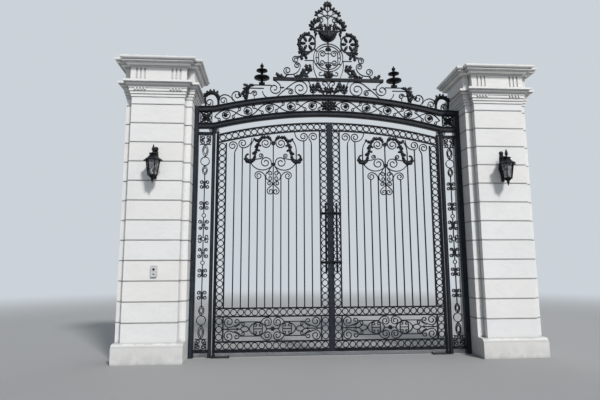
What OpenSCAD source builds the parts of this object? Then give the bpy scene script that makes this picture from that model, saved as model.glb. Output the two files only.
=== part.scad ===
// Wrought iron driveway gate: two swinging leaves, fixed side panels and an arched overthrow
// with a scrolled crest, set between two rusticated stone piers.
// X runs along the gateway, Y away from the street, Z up. The floor is at Z 0.

/* [Gateway] */
// Clear width between the two piers
clear_w = 4430; // [4000:10:5200]
// Gap between the ground and the bottom rail of the leaves
ground_gap = 70; // [40:5:120]
// Radius of the underside of the arched overthrow
arch_r = 7660; // [7000:10:9000]
// Gap between the overthrow's ends and the architrave over them
under_gap = 4; // [2:1:20]
// Gap between the overthrow and the top of the closed leaves
over_gap = 110; // [60:5:160]

/* [Piers] */
// Width and depth of the pier's front pilaster
pier_face = 804; // [700:2:1000]
// Step back from the pilaster's face to the core beside it
core_step = 104; // [60:2:140]
// Height of the plinth under its cap moulding
plinth_h = 240; // [180:5:320]
// Height of the cap moulding of the plinth
plinth_cap_h = 50; // [30:2:70]
// How far the plinth stands out from the shaft
plinth_out = 84; // [40:2:120]
// Height of one stone course
course_h = 300; // [260:1:330]
// Number of full courses on the shaft
courses = 11; // [10:1:12]
// Height of the first course over the plinth
first_course_h = 280; // [200:5:320]
// Height of the short course under the architrave
neck_h = 124; // [60:2:180]
// Width of the groove at each joint
groove_w = 12; // [6:1:20]
// Depth of the groove at each joint
groove_d = 9; // [4:1:14]

/* [Entablature] */
// Height of each of the three stepped bands of the architrave
fascia_h = 43; // [36:1:60]
// How far each band steps out past the one below
fascia_step = 13; // [8:1:20]
// Height of the moulding between architrave and frieze
taenia_h = 131; // [90:1:160]
// How far that moulding stands out from the shaft
taenia_out = 118; // [80:2:150]
// Height of the plain frieze
frieze_h = 215; // [160:5:260]
// How far the frieze stands out from the shaft
frieze_out = 28; // [10:2:50]
// Height of the top cornice
cornice_h = 130; // [100:2:180]
// How far the top cornice stands out from the shaft
cornice_out = 168; // [140:2:220]
// Width of each upright groove in the frieze
glyph_w = 26; // [16:1:34]
// Distance between the upright grooves
glyph_pitch = 62; // [48:1:70]

/* [Fixed iron frame] */
// Width of the jamb fixed to each pier
jamb_w = 72; // [50:2:100]
// Depth of the jamb
jamb_d = 80; // [60:2:120]
// Clear width of the fixed side panel
side_w = 220; // [180:5:280]
// Width of the hanging post of each leaf
post_w = 50; // [40:2:80]
// Height of the rails of the overthrow
rail_h = 85; // [60:1:110]
// Depth of the rails of the overthrow
rail_d = 70; // [40:2:100]
// Clear height between the two rails of the overthrow
over_clear = 198; // [160:2:240]
// Gap between the side panel and the overthrow
side_gap = 65; // [30:5:100]
// Height of the top and bottom rails of the side panels
side_rail_h = 48; // [30:2:60]

/* [Overthrow scrolls] */
// Number of bosses in each half of the arched frieze
bosses = 5; // [4:1:6]
// Radius of the bosses
boss_r = 34; // [26:1:38]
// Radius of the scroll about each boss
boss_turn_r = 68; // [60:1:76]

/* [Leaves] */
// Running gap between the hanging post and the heel of the leaf
heel_gap = 16; // [10:1:24]
// Width of the heel and of the meeting stile
stile_w = 46; // [36:2:60]
// Depth of the leaf's outer stiles and rails
stile_d = 44; // [30:2:60]
// Gap between the two closed leaves
meet_gap = 6; // [5:1:12]
// Outside diameter of the rings in the borders
ring_d = 104; // [80:1:120]
// Radial thickness of the rings
ring_t = 13; // [8:1:18]
// Depth of the rings, scrolls and other flat ornament
flat_d = 20; // [12:1:28]
// Width of the thin rails and stiles that hold the rings
lath_w = 22; // [14:1:30]
// Height of the bottom rail
bottom_h = 46; // [30:2:60]
// Height of the lower panel between the bands of rings
panel_h = 356; // [300:2:420]
// Number of upright bars in each leaf
bars_n = 11; // [9:2:13]
// Side of the square upright bars
bar_w = 18; // [12:1:24]
// Thickness of the bent scroll bars
scroll_t = 15; // [10:1:20]

/* [Side panels] */
// Outside radius of the small scrolls in the side panels
side_curl_r = 30; // [24:1:32]
// Outside radius of the ring in the side panels
side_ring_out = 75; // [60:1:84]

/* [Lyre] */
// Drop from the arched top band to the collar of the lyre
lyre_drop = 516; // [480:2:540]
// Height from the collar to the knot at the top of the lyre
lyre_h = 352; // [320:2:370]
// Thickness of the leafy arms of the lyre
arm_t = 30; // [20:2:40]
// Radius of the crescent at the foot of each arm
foot_r = 86; // [70:1:92]
// Outside radius of the scrolls in the lower heart
heart_r = 88; // [70:1:96]
// Outside radius of the scrolls beside the top knot
horn_r = 76; // [60:1:84]
// Outside radius of the scroll on the second bar from the middle
bar_scroll_r = 62; // [50:1:66]
// Outside radius of the curled ends in the chain down the middle bar
curl_r = 34; // [26:1:36]
// Outside radius of the curled tops of the bars beside the lyre
top_curl_r = 70; // [56:1:74]

/* [Lower panel] */
// Radius of the large scrolls in the corners of the lower panel
corner_r = 76; // [60:1:80]
// Radius of the small scrolls beside them
small_r = 36; // [28:1:40]
// Radius of the four scrolls round the middle boss
mid_r = 66; // [52:1:72]
// Distance of the crossings from the middle of the panel
cross_x = 364; // [330:2:390]
// Half height of the lens between two crossings
lens_h = 96; // [80:2:110]

/* [Pivots and handles] */
// Diameter of the pivot pins of the heel
pin_d = 30; // [20:1:36]
// Radial running clearance of the pivot pins
pin_fit = 0.1; // [0.05:0.01:0.3]
// Length of the floor plate under each heel
plate_l = 280; // [200:5:340]
// Width of the floor plate
plate_w = 120; // [90:5:160]
// Thickness of the floor plate
plate_t = 14; // [8:1:20]
// Length of the pull handle
handle_l = 1085; // [700:5:1200]
// Height of the foot of the pull handle
handle_z = 1287; // [1000:5:1500]
// Diameter of the pull handle
handle_d = 24; // [16:1:30]
// Distance of the pull handle from the leaf
handle_out = 70; // [50:2:90]

/* [Crest] */
// Height of the crest bar over the crown of the overthrow
crest_rise = 249; // [200:1:280]
// Half length of the crest bar
crest_half = 940; // [800:5:1050]
// Height of the crest bar
crest_bar_h = 46; // [30:2:60]
// Depth of the crest bar
crest_bar_d = 60; // [40:2:80]
// Distance of the finials beyond the ends of the crest bar
finial_x = 185; // [60:5:310]
// Drop from the crest bar to the foot of the finials
finial_drop = 86; // [40:1:120]
// Radius of the medallion
medallion_r = 257; // [220:1:280]
// Height of the middle of the medallion over the bar
medallion_up = 376; // [300:2:450]
// Radius of the leafy ring at each side of the medallion
side_ring_r = 140; // [110:2:160]
// Distance of those rings from the centre line
side_ring_x = 350; // [300:2:400]
// Height of their middle over the bar
side_ring_up = 626; // [500:2:700]
// Half width of the bowl
bowl_r = 156; // [130:2:180]
// Depth of the bowl, which is a flattened half round
bowl_d = 110; // [80:2:160]
// Height of the widest part of the bowl over the bar
bowl_up = 826; // [700:2:900]
// Height of the palmette over the bowl
palmette_h = 575; // [500:5:700]
// Width of the thick acanthus bars
leaf_t = 30; // [22:1:40]

/* [Lanterns] */
// Height of the lantern's eaves over the floor
lamp_z = 2945; // [2600:5:3100]
// Distance of the lantern's axis from the wall
lamp_out = 160; // [140:2:220]
// Radius of the eaves
lamp_r = 136; // [110:2:150]
// Height of the glazed body
lamp_h = 215; // [180:5:260]

/* [Hidden] */
$fn = 48;
eps = 0.5;
// Seat clearance between pieces that only touch
seat = 0.3;
// Lantern: wall plate, arm, height of the neck over the eaves, and the glass at its foot and head
lamp_plate_t = 12;
arm_w = 16;
neck_z = 128;
tray_r = 58;
head_r = 94;
// Largest gap between a bent bar's curve and the chords that stand for it
chord_gap = 2;

iron = [0.10, 0.11, 0.13];
stone = [0.86, 0.85, 0.81];
pane = [0.55, 0.66, 0.60];

// Levels of the piers
shaft_z = plinth_h + plinth_cap_h;
shaft_top = shaft_z + first_course_h + courses * course_h + neck_h;
architrave_top = shaft_top + 3 * fascia_h;
frieze_z = architrave_top + taenia_h;
cornice_z = frieze_z + frieze_h;
pier_top = cornice_z + cornice_h;
core_w = pier_face + 2 * core_step;
core_d = pier_face - 2 * core_step;
pier_x = clear_w / 2 + core_w / 2;

// The lanterns reach further forward than the cornice reaches back: this centres the whole part
lamp_reach = pier_face / 2 + lamp_out + lamp_r;
back_reach = pier_face / 2 + cornice_out;
mid_y = (lamp_reach - back_reach) / 2;

// Places across the gateway, measured outward from its centre line
half_w = clear_w / 2;
jamb_x = half_w - jamb_w;
post_x1 = jamb_x - side_w;
post_x0 = post_x1 - post_w;
heel_x1 = post_x0 - heel_gap;
heel_x0 = heel_x1 - stile_w;
axis_x = heel_x1 - stile_w / 2;
heel_lath_x1 = heel_x0 - ring_d;
heel_lath_x0 = heel_lath_x1 - lath_w;
meet_x0 = meet_gap / 2;
meet_x1 = meet_x0 + stile_w;
meet_lath_x0 = meet_x1 + ring_d;
meet_lath_x1 = meet_lath_x0 + lath_w;
leaf_cx = (meet_lath_x1 + heel_lath_x0) / 2;
bay_w = heel_lath_x0 - meet_lath_x1;
bar_pitch = bay_w / (bars_n + 1);

// Arched rails share one centre
arch_end = post_x0 + post_w / 2;
over_r1 = arch_r + rail_h;
over_r2 = over_r1 + over_clear;
over_r3 = over_r2 + rail_h;
leaf_r3 = arch_r - over_gap;
leaf_r2 = leaf_r3 - lath_w;
leaf_r1 = leaf_r2 - ring_d;
leaf_r0 = leaf_r1 - lath_w;
flat_z3 = shaft_top - under_gap;
flat_z2 = flat_z3 - rail_h;
flat_z1 = flat_z2 - over_clear;
flat_z0 = flat_z1 - rail_h;
arch_z = flat_z0 - sqrt(arch_r * arch_r - arch_end * arch_end);
side_top = flat_z0 - side_gap;

// Levels of the leaves
leaf_z = ground_gap;
ring_z = leaf_z + bottom_h;
panel_z = ring_z + ring_d + lath_w;
mid_z = panel_z + panel_h;
mid_ring_z = mid_z + lath_w;
bars_z = mid_ring_z + ring_d + lath_w;
lyre_z = arch_at(leaf_r0, leaf_cx) - lyre_drop;
crest_z = over_r3 + arch_z + crest_rise;
crest_top = crest_z + crest_bar_h;
finial_z = crest_z - finial_drop;

// Height of an arched rail at a distance from the centre line
function arch_at(r, x) = arch_z + sqrt(r * r - x * x);

// Places a child at the left pier, or mirrors it to the right one
module pier_side(s) {
    translate([s * pier_x, mid_y, 0]) mirror([s > 0 ? 1 : 0, 0, 0]) children();
}

// Places a child drawn on the right of the centre line in the plane of the gate
module gate_side(s) {
    translate([0, mid_y, 0]) mirror([s < 0 ? 1 : 0, 0, 0]) children();
}

// Turns a drawing in X and Z into an upright plate of a given depth
module upright(depth) {
    rotate([90, 0, 0]) linear_extrude(height = depth, center = true) children();
}

module ring_2d(x, z, r, t) {
    translate([x, z]) difference() {
        circle(r = r, $fn = 32);
        circle(r = r - t, $fn = 32);
    }
}

module box_2d(x0, z0, x1, z1) {
    translate([x0, z0]) square([x1 - x0, z1 - z0]);
}

// A row of rings with a small collar between each two, evenly filling a clear length
module ring_column(x, z0, z1) {
    n = floor((z1 - z0) / ring_d);
    pitch = (z1 - z0) / n;
    for (i = [0:n - 1]) ring_2d(x, z0 + (i + 0.5) * pitch, ring_d / 2 + eps, ring_t);
    for (i = [1:n - 1]) box_2d(x - 8, z0 + i * pitch - 5 - (pitch - ring_d) / 2, x + 8, z0 + i * pitch + 5 + (pitch - ring_d) / 2);
}

module ring_row(z, x0, x1) {
    n = floor((x1 - x0) / ring_d);
    pitch = (x1 - x0) / n;
    for (i = [0:n - 1]) ring_2d(x0 + (i + 0.5) * pitch, z, ring_d / 2 + eps, ring_t);
    for (i = [1:n - 1]) box_2d(x0 + i * pitch - 5 - (pitch - ring_d) / 2, z - 8, x0 + i * pitch + 5 + (pitch - ring_d) / 2, z + 8);
}

// One arc of a bent bar about a centre, from one angle to another
module arc_2d(x, z, r, a0, a1, t = scroll_t) {
    n = ceil((a1 - a0) / 40);
    far = r * 1.3 + 2 * t;
    translate([x, z]) intersection() {
        difference() {
            circle(r = r + t / 2, $fn = 72);
            circle(r = r - t / 2, $fn = 72);
        }
        polygon(concat([[0, 0]], [for (i = [0:n]) far * [cos(a0 + (a1 - a0) * i / n), sin(a0 + (a1 - a0) * i / n)]]));
    }
}

// Place and heading after one step of a bent bar: a step is [radius, angle], a left turn when the
// angle is positive and a right turn when it is negative, or [length, 0] for a straight stretch
function after(p, step) =
    let (r = step[0], k = step[1] < 0 ? -1 : 1, h = p[2] + step[1])
    step[1] == 0 ? [p[0] + r * cos(h), p[1] + r * sin(h), h]
        : [p[0] + k * r * (sin(h) - sin(p[2])), p[1] - k * r * (cos(h) - cos(p[2])), h];

// Places at the start of each step and at the end of the last one
function places(steps) =
    [for (i = 0, p = [0, 0, 0]; i <= len(steps); p = i < len(steps) ? after(p, steps[i]) : p, i = i + 1) p];

// Places along a bent bar, close enough together to keep its curves round
function run(steps) = let (p = places(steps)) concat(
    [for (i = [0:len(steps) - 1]) let (
            turn = abs(steps[i][1]),
            n = turn == 0 ? 1 : ceil(turn / min(36, 2 * acos(1 - chord_gap / steps[i][0]))))
        for (j = [0:n - 1]) j == 0 ? p[i] : after(p[i], [steps[i][0], steps[i][1] * j / n])],
    [p[len(steps)]]);

// A bar bent step by step, drawn about its middle line
module strap(steps, t = scroll_t) {
    path = run(steps);
    last = len(path) - 1;
    polygon(concat(
        [for (i = [0:last]) [path[i][0] - sin(path[i][2]) * t / 2, path[i][1] + cos(path[i][2]) * t / 2]],
        [for (i = [last:-1:0]) [path[i][0] + sin(path[i][2]) * t / 2, path[i][1] - cos(path[i][2]) * t / 2]]
    ));
}

// Steps of a scroll that opens from its eye, in quarter turns of growing radius
function volute(r, quarters = 6, hand = 1) =
    [for (k = [1:quarters]) [r * (0.2 + 0.8 * k / quarters), 90 * hand]];

// Steps of a scroll that closes towards its eye
function volute_in(r, quarters = 6, hand = 1) =
    [for (k = [quarters:-1:1]) [r * (0.2 + 0.8 * k / quarters), 90 * hand]];

// Steps of a bar that leaves one scroll, runs on and closes in another one
function c_scroll(r0, q0, mid, r1, q1, h0, h1) = concat(volute(r0, q0, h0), mid, volute_in(r1, q1, h1));

// Start of a scroll with its eye at a place: the bar leaves the eye at an angle and turns about it
module scroll(x, z, angle, steps, eye = 0, t = scroll_t) {
    s = steps[0][1] < 0 ? -1 : 1;
    translate([x, z]) {
        if (eye > 0) circle(r = eye, $fn = 24);
        rotate(angle) translate([0, -s * steps[0][0]]) strap(steps, t);
    }
}

// A solid leaf between two points of the X axis
module petal_2d(x0, x1, w) {
    half = (x1 - x0) / 2;
    r = (half * half + w * w) / (2 * w);
    translate([(x0 + x1) / 2, 0]) intersection() {
        translate([0, w - r]) circle(r = r, $fn = 48);
        translate([0, r - w]) circle(r = r, $fn = 48);
    }
}

// A lobed leaf that grows from a place at an angle
module leaf_2d(x, z, angle, l, w) {
    translate([x, z]) rotate(angle) {
        petal_2d(-l * 0.25, l, w * 0.85);
        for (s = [-1, 1], k = [0.05, 0.42]) translate([k * l, 0]) rotate(s * 40) petal_2d(-l * 0.08, l * 0.46, w * 0.44);
    }
}

// Start of a bar at a place and an angle, bent step by step
module bend(x, z, angle, steps, t = scroll_t) {
    translate([x, z]) rotate(angle) strap(steps, t);
}

// Draws a shape and its mirror image about the upright line through an ornament's middle
module paired() {
    for (m = [0, 1]) mirror([m, 0]) children();
}

module eye(x, z, r = 13, depth = flat_d + 6) {
    translate([x, 0, z]) rotate([90, 0, 0]) cylinder(r = r, h = depth, center = true, $fn = 24);
}

/* Piers */

// Plan of the pier: a pilaster on each face of a stepped core
module pier_plan(out = 0) {
    square([pier_face + 2 * out, pier_face + 2 * out], center = true);
    square([core_w + 2 * out, core_d + 2 * out], center = true);
}

// A block of the pier between two levels
module pier_block(z0, h, out = 0) {
    translate([0, 0, z0]) linear_extrude(height = h) pier_plan(out);
}

// A moulding that runs round one rectangle with mitred corners
module mitred(w, d, profile) {
    reach = w + d;
    intersection() {
        rotate([90, 0, 0]) linear_extrude(height = reach, center = true) moulding(w, profile);
        rotate([90, 0, 90]) linear_extrude(height = reach, center = true) moulding(d, profile);
    }
}

module moulding(w, profile) {
    n = len(profile);
    polygon(concat(
        [for (p = profile) [w / 2 + p[0], p[1]]],
        [for (i = [n - 1:-1:0]) [-w / 2 - profile[i][0], profile[i][1]]]
    ));
}

// A moulding round the whole stepped plan
module pier_moulding(z0, profile) {
    translate([0, 0, z0]) {
        mitred(pier_face, pier_face, profile);
        mitred(core_w, core_d, profile);
    }
}

// Points of a quarter round from one corner to another
function quarter_out(x0, z0, x1, z1, n = 5) =
    [for (i = [0:n]) [x0 + (x1 - x0) * sin(90 * i / n), z0 + (z1 - z0) * (1 - cos(90 * i / n))]];
function quarter_in(x0, z0, x1, z1, n = 5) =
    [for (i = [0:n]) [x0 + (x1 - x0) * (1 - cos(90 * i / n)), z0 + (z1 - z0) * sin(90 * i / n)]];

// A plain block as wide as the core, with a cap moulding that runs back to the pilaster
module pier_plinth() {
    color(stone) {
        translate([-core_w / 2, -pier_face / 2 - plinth_out, 0])
            cube([core_w, pier_face + 2 * plinth_out, plinth_h]);
        translate([0, 0, plinth_h]) rotate([90, 0, 90]) linear_extrude(height = core_w, center = true)
            moulding(pier_face, concat(
                [[plinth_out - 12, 0]], [[plinth_out - 12, plinth_cap_h * 0.35]],
                quarter_in(plinth_out - 22, plinth_cap_h * 0.35, 8, plinth_cap_h)
            ));
    }
}

module pier_shaft() {
    color(stone) {
        difference() {
            pier_block(shaft_z, shaft_top - shaft_z);
            for (i = [0:courses]) translate([0, 0, shaft_z + first_course_h + i * course_h - groove_w / 2])
                linear_extrude(height = groove_w) difference() {
                    square([core_w + 200, core_w + 200], center = true);
                    pier_plan(-groove_d);
                }
        }
    }
}

module pier_frieze() {
    color(stone) {
        for (i = [0:2]) pier_block(shaft_top + i * fascia_h, fascia_h, fascia_step * (i + 1));
        pier_moulding(architrave_top, [
            [fascia_step * 3 + 8, 0], [fascia_step * 3 + 8, taenia_h * 0.3],
            [taenia_out - 34, taenia_h * 0.46], [taenia_out - 34, taenia_h * 0.6],
            [taenia_out, taenia_h * 0.62], [taenia_out, taenia_h * 0.86],
            [frieze_out + 10, taenia_h]
        ]);
        difference() {
            pier_block(frieze_z, frieze_h, frieze_out);
            for (a = [0:90:270]) rotate([0, 0, a]) glyphs();
        }
        for (a = [0:90:270]) rotate([0, 0, a]) guttae();
    }
}

// Three upright grooves near each end of the frieze, on one face
module glyphs() {
    for (s = [-1, 1], k = [-1:1])
        translate([s * (pier_face / 2 - 130) + k * glyph_pitch - glyph_w / 2, -pier_face / 2 - frieze_out - 1,
                   frieze_z + 22])
            cube([glyph_w, 13, frieze_h - 40]);
}

// Small drops under the moulding, in line with the grooves
module guttae() {
    for (s = [-1, 1], k = [-1.5:1:1.5])
        translate([s * (pier_face / 2 - 130) + k * glyph_pitch * 0.8, -pier_face / 2 - fascia_step * 3 - 8,
                   architrave_top - 30])
            cylinder(r1 = 14, r2 = 11, h = 30, $fn = 16);
}

module pier_cornice() {
    color(stone) pier_moulding(cornice_z, concat(
        [[frieze_out + 10, 0], [frieze_out + 10, cornice_h * 0.12]],
        quarter_out(frieze_out + 24, cornice_h * 0.14, frieze_out + 66, cornice_h * 0.42),
        [[cornice_out - 34, cornice_h * 0.44], [cornice_out - 34, cornice_h * 0.66]],
        quarter_out(cornice_out - 24, cornice_h * 0.68, cornice_out, cornice_h * 0.86),
        [[cornice_out, cornice_h]]
    ));
}

/* Lanterns and call box */

module lantern() {
    color(iron) translate([0, -pier_face / 2, 0]) {
        // Wall plate, and the arm that carries the lantern by its neck
        translate([0, 0, lamp_z]) rotate([90, 0, 0]) linear_extrude(height = lamp_plate_t) lamp_plate_2d();
        translate([-arm_w / 2, -lamp_out, lamp_z + neck_z]) cube([arm_w, lamp_out - lamp_plate_t + eps, arm_w]);
        translate([0, -lamp_out, lamp_z]) {
            // Six-sided roof with flared eaves
            cylinder(r = lamp_r, h = 9, $fn = 6);
            translate([0, 0, 8.5]) cylinder(r1 = lamp_r - 6, r2 = 76, h = 36, $fn = 6);
            translate([0, 0, 44]) cylinder(r1 = 76, r2 = 40, h = 52, $fn = 6);
            // Crown ring, neck and flame finial
            translate([0, 0, 95]) cylinder(r = 48, h = 10);
            translate([0, 0, 104.5]) cylinder(r1 = 30, r2 = 14, h = neck_z - 103);
            translate([0, 0, neck_z]) cylinder(r = 14, h = arm_w + 14);
            translate([0, 0, neck_z + arm_w + 12]) cylinder(r1 = 12, r2 = 24, h = 24);
            translate([0, 0, neck_z + arm_w + 35.5]) cylinder(r1 = 24, r2 = 3, h = 72);
            // Six glazing bars down to the tray
            for (a = [0:60:300]) rotate([0, 0, a]) lamp_bar();
            translate([0, 0, -lamp_h - 13]) cylinder(r = tray_r + 16, h = 13, $fn = 6);
            translate([0, 0, -lamp_h - 52]) cylinder(r1 = 26, r2 = tray_r + 8, h = 40, $fn = 6);
            translate([0, 0, -lamp_h - 66]) sphere(r = 20);
            translate([0, 0, -lamp_h - 128]) cylinder(r1 = 4, r2 = 12, h = 52);
        }
    }
}
module lamp_plate_2d() {
    side = [[22, -250], [28, -150], [60, -30], [40, 30], [34, 160], [18, 205]];
    polygon(concat(side, [for (i = [5:-1:0]) [-side[i][0], side[i][1]]]));
}
module lamp_bar() {
    rotate([90, 0, 0]) linear_extrude(height = 12, center = true)
        polygon([[tray_r, -lamp_h], [tray_r + 14, -lamp_h], [head_r + 14, 0], [head_r, 0]]);
}

module lantern_glass() {
    color(pane, 0.5) translate([0, -pier_face / 2 - lamp_out, lamp_z])
        translate([0, 0, -lamp_h + seat]) cylinder(r1 = tray_r - seat, r2 = head_r - seat, h = lamp_h - 2 * seat, $fn = 6);
}

module call_box() {
    color([0.75, 0.76, 0.78]) translate([-pier_x + 40, mid_y - pier_face / 2, 1232]) {
        translate([-42, -22, 0]) cube([84, 22, 160]);
        translate([0, -22, 110]) rotate([90, 0, 0]) cylinder(r = 22, h = 8);
    }
}

/* Fixed iron frame */

module jamb() {
    color(iron) translate([jamb_x, -jamb_d / 2, 0]) cube([jamb_w, jamb_d, flat_z3]);
}

// Hanging post with the eye that holds the top pivot of the leaf
module hanging_post() {
    eye_z = arch_at(leaf_r3, heel_x1) + 22;
    color(iron) difference() {
        union() {
            translate([post_x0, -30, 0]) cube([post_w, 60, flat_z0]);
            translate([axis_x, -26, eye_z]) cube([post_x0 - axis_x + 1, 52, 22]);
            translate([axis_x, 0, eye_z]) cylinder(r = 26, h = 22);
        }
        translate([axis_x, 0, eye_z - 1]) cylinder(r = pin_d / 2 + pin_fit, h = 24);
    }
}

// Floor plates with the cups that carry the bottom pivots
module floor_plates() {
    for (s = [-1, 1]) gate_side(s) color(iron) difference() {
        union() {
            translate([post_x0 - 4 - plate_l, -plate_w / 2, 0]) cube([plate_l, plate_w, plate_t]);
            translate([axis_x, 0, 0]) cylinder(r = 27, h = ground_gap - 20);
        }
        translate([axis_x, 0, plate_t / 2]) cylinder(r = pin_d / 2 + pin_fit, h = ground_gap);
    }
}

module side_panel() {
    lo = ground_gap;
    hi = side_top;
    mid = (lo + hi) / 2;
    color(iron) {
        upright(40) {
            box_2d(post_x1, hi - side_rail_h, jamb_x, hi);
            box_2d(post_x1, lo, jamb_x, lo + side_rail_h);
        }
        upright(flat_d) translate([(post_x1 + jamb_x) / 2, mid])
            for (m = [0, 1]) mirror([0, m]) paired() side_chain_2d(hi - side_rail_h - mid);
    }
}

// Upper right quarter of the chain of ornament in a side panel, drawn up from its middle
module side_chain_2d(h) {
    c = side_curl_r;
    half = side_w / 2 - seat;
    ring_z = h - 439;
    // Square of four small scrolls at the end of the chain
    scroll(half - c - 30, h - c - 14, -90, concat(volute(c + 2, 5, 1), [[c, 0]]));
    scroll(half - c - 30, h - c * 2 - 62, 90, concat(volute(c + 2, 5, -1), [[c, 0]]));
    box_2d(half - 34, h - 2 * c - 66, half - 20, h + eps);
    box_2d(0, h - 3 * c - 74, half - 20, h - 3 * c - 62);
    box_2d(0, h - 10, 24, h + eps);
    // Two curves that cross above and below the ring, with a lozenge between them
    lens_side_2d(ring_z + side_ring_out - 4, h - 3 * c - 66, 44);
    lens_side_2d(ring_z + side_ring_out + 40, h - 3 * c - 106, 27);
    box_2d(0, ring_z + side_ring_out - 8, 6, ring_z + side_ring_out + 52);
    box_2d(0, h - 3 * c - 118, 6, h - 3 * c - 62);
    ring_2d(0, ring_z, side_ring_out, 12);
    lens_side_2d(ring_z - side_ring_out - 150, ring_z - side_ring_out + 4, 40);
    lens_side_2d(ring_z - side_ring_out - 118, ring_z - side_ring_out - 30, 24);
    box_2d(0, ring_z - side_ring_out - 42, 6, ring_z - side_ring_out + 6);
    box_2d(0, ring_z - side_ring_out - 156, 6, ring_z - side_ring_out - 106);
    // Pairs of scrolls back to back on the stem
    box_2d(0, h - 1290, 7, h - 655);
    for (z = [h - 790, h - 1130]) {
        scroll(c + 12, z, 180, c_scroll(c, 5, [[64, 0]], c, 5, 1, 1));
        box_2d(0, z - c - 37, 12, z - c - 25);
    }
    // Small ring, then the scrolls round the middle boss
    ring_2d(0, h - 1322, 34, 11);
    box_2d(0, h - 1390, 7, h - 1350);
    scroll(c + 22, h - 1430, 180, c_scroll(c, 5, [[90, 0]], c - 4, 5, 1, 1));
    box_2d(0, h - 1484, 22, h - 1466);
    ring_2d(0, 0, 30, 11);
    box_2d(26, 0, 80, 7);
    scroll(c + 30, 40, 0, concat(volute(c, 4, 1), [[26, 0]]));
    box_2d(0, 26, 7, h - 1385);
}

// Right half of a pointed lens that stands on a line between two levels
module lens_side_2d(z0, z1, w) {
    half = (z1 - z0) / 2;
    r = (half * half + w * w) / (2 * w);
    a = asin(half / r);
    arc_2d(w - r, (z0 + z1) / 2, r, -a, a, 11);
}

module lozenge_2d(x, z, w, h, t) {
    translate([x, z]) difference() {
        polygon([[-w, 0], [0, -h], [w, 0], [0, h]]);
        polygon([[-w + t * 1.1, 0], [0, -h + t * 2.4], [w - t * 1.1, 0], [0, h - t * 2.4]]);
    }
}

// An arched rail between two radii, level past the hanging posts
module arched_rail(r0, z_end) {
    color(iron) upright(rail_d) {
        intersection() {
            translate([0, arch_z]) difference() {
                circle(r = r0 + rail_h, $fn = 360);
                circle(r = r0, $fn = 360);
            }
            box_2d(-arch_end, arch_z, arch_end, arch_z + r0 + rail_h + 1);
        }
        for (s = [-1, 1]) mirror([s < 0 ? 1 : 0, 0]) box_2d(arch_end - 2, z_end, jamb_x, z_end + rail_h);
    }
}

module overthrow_lower_rail() {
    translate([0, mid_y, 0]) arched_rail(arch_r, flat_z0);
}

module overthrow_upper_rail() {
    translate([0, mid_y, 0]) arched_rail(over_r2, flat_z2);
}

// Running scrolls between the two arched rails, each turning about a round boss
module frieze_scrolls() {
    mid_r = over_r1 + over_clear / 2;
    half = over_clear / 2 - seat;
    pitch = asin((arch_end - 34) / mid_r) / (bosses + 0.2);
    end_x = jamb_x - half - 13;
    end_z = flat_z1 + over_clear / 2;
    color(iron) {
        upright(flat_d) translate([0, arch_z]) intersection() {
            for (i = [0:bosses - 1]) rotate(-(i + 0.79) * pitch) translate([0, mid_r])
                mirror([0, i % 2]) frieze_unit_2d(half, pitch * PI / 180 * mid_r);
            rotate(-0.29 * pitch) difference() {
                circle(r = over_r2 - seat, $fn = 360);
                circle(r = over_r1 + seat, $fn = 360);
            }
        }
        translate([0, 0, arch_z]) for (i = [0:bosses - 1]) rotate([0, (i + 0.79) * pitch, 0])
            translate([0, 0, mid_r]) upright(flat_d + 16) circle(r = boss_r, $fn = 32);
        // Square end block over the side panel, with four petals
        upright(flat_d) translate([end_x, end_z]) {
            difference() {
                square([2 * half, 2 * half], center = true);
                square([2 * half - 26, 2 * half - 26], center = true);
            }
            for (a = [45:90:315]) rotate(a) petal_2d(boss_r - 14, half * 1.3, boss_r * 0.5);
        }
        upright(flat_d + 16) translate([end_x, end_z]) circle(r = boss_r, $fn = 32);
    }
}

// One running scroll, drawn about its boss: a wave that passes over it, a bar that turns about it
// and a curl on each side of it
module frieze_unit_2d(half, pitch) {
    wave = 41;
    flat = pitch / 2 - 228 * sin(wave);
    run = flat / cos(wave);
    top = 228 * (1 - cos(wave)) + run * sin(wave);
    paired() {
        bend(0, top, 0, [[228, -wave], [run + 2, 0]]);
        scroll(-pitch * 0.345, -half + 36, 180, concat(volute(27, 4, 1), [[44, -44], [34, 0]]));
        box_2d(0, top, 12, half + 1);
        box_2d(0, -half - 1, 6, -boss_turn_r);
        box_2d(boss_r - 4, -5, boss_turn_r - 12, 5);
        box_2d(pitch * 0.345 - 5, -half - 1, pitch * 0.345 + 5, -half + 12);
    }
    bend(0, top, 180, [[boss_turn_r + 12, 90], [boss_turn_r + 2, 90], [boss_turn_r - 4, 90], [boss_turn_r - 10, 90],
        [boss_turn_r - 16, 60]]);
}

// Leaves the outline of the arched rails and of the crest bar out of a drawing
module clear_of_frame() {
    difference() {
        children();
        translate([0, arch_z]) circle(r = over_r3 + seat, $fn = 360);
        box_2d(arch_end - 2, flat_z2, jamb_x, flat_z3 + seat);
        box_2d(-crest_half - seat, crest_z - seat, crest_half + seat, crest_top + seat);
    }
}

module frieze_rosette() {
    color(iron) translate([0, mid_y, arch_z + over_r1 + over_clear / 2]) {
        upright(24) for (a = [0:45:315]) rotate(a) petal_2d(10, over_clear / 2 - seat, 30);
        upright(24) circle(r = over_clear * 0.36);
        upright(50) for (a = [0:45:315]) rotate(a + 22.5) petal_2d(8, over_clear * 0.4, 20);
        upright(70) circle(r = 30, $fn = 32);
    }
}

/* Crest */

module crest_bar() {
    color(iron) translate([-crest_half, mid_y - crest_bar_d / 2, crest_z]) cube([2 * crest_half, crest_bar_d, crest_bar_h]);
}

// Scrolls on one side of the crest, under the bar and out to the pier
module crest_scrolls() {
    color(iron) upright(flat_d) clear_of_frame() intersection() {
        translate([0, crest_z]) {
            inner_crest_2d();
            middle_crest_2d();
            outer_crest_2d();
        }
        box_2d(2, arch_z, jamb_x, crest_z + 10);
    }
}

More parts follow.
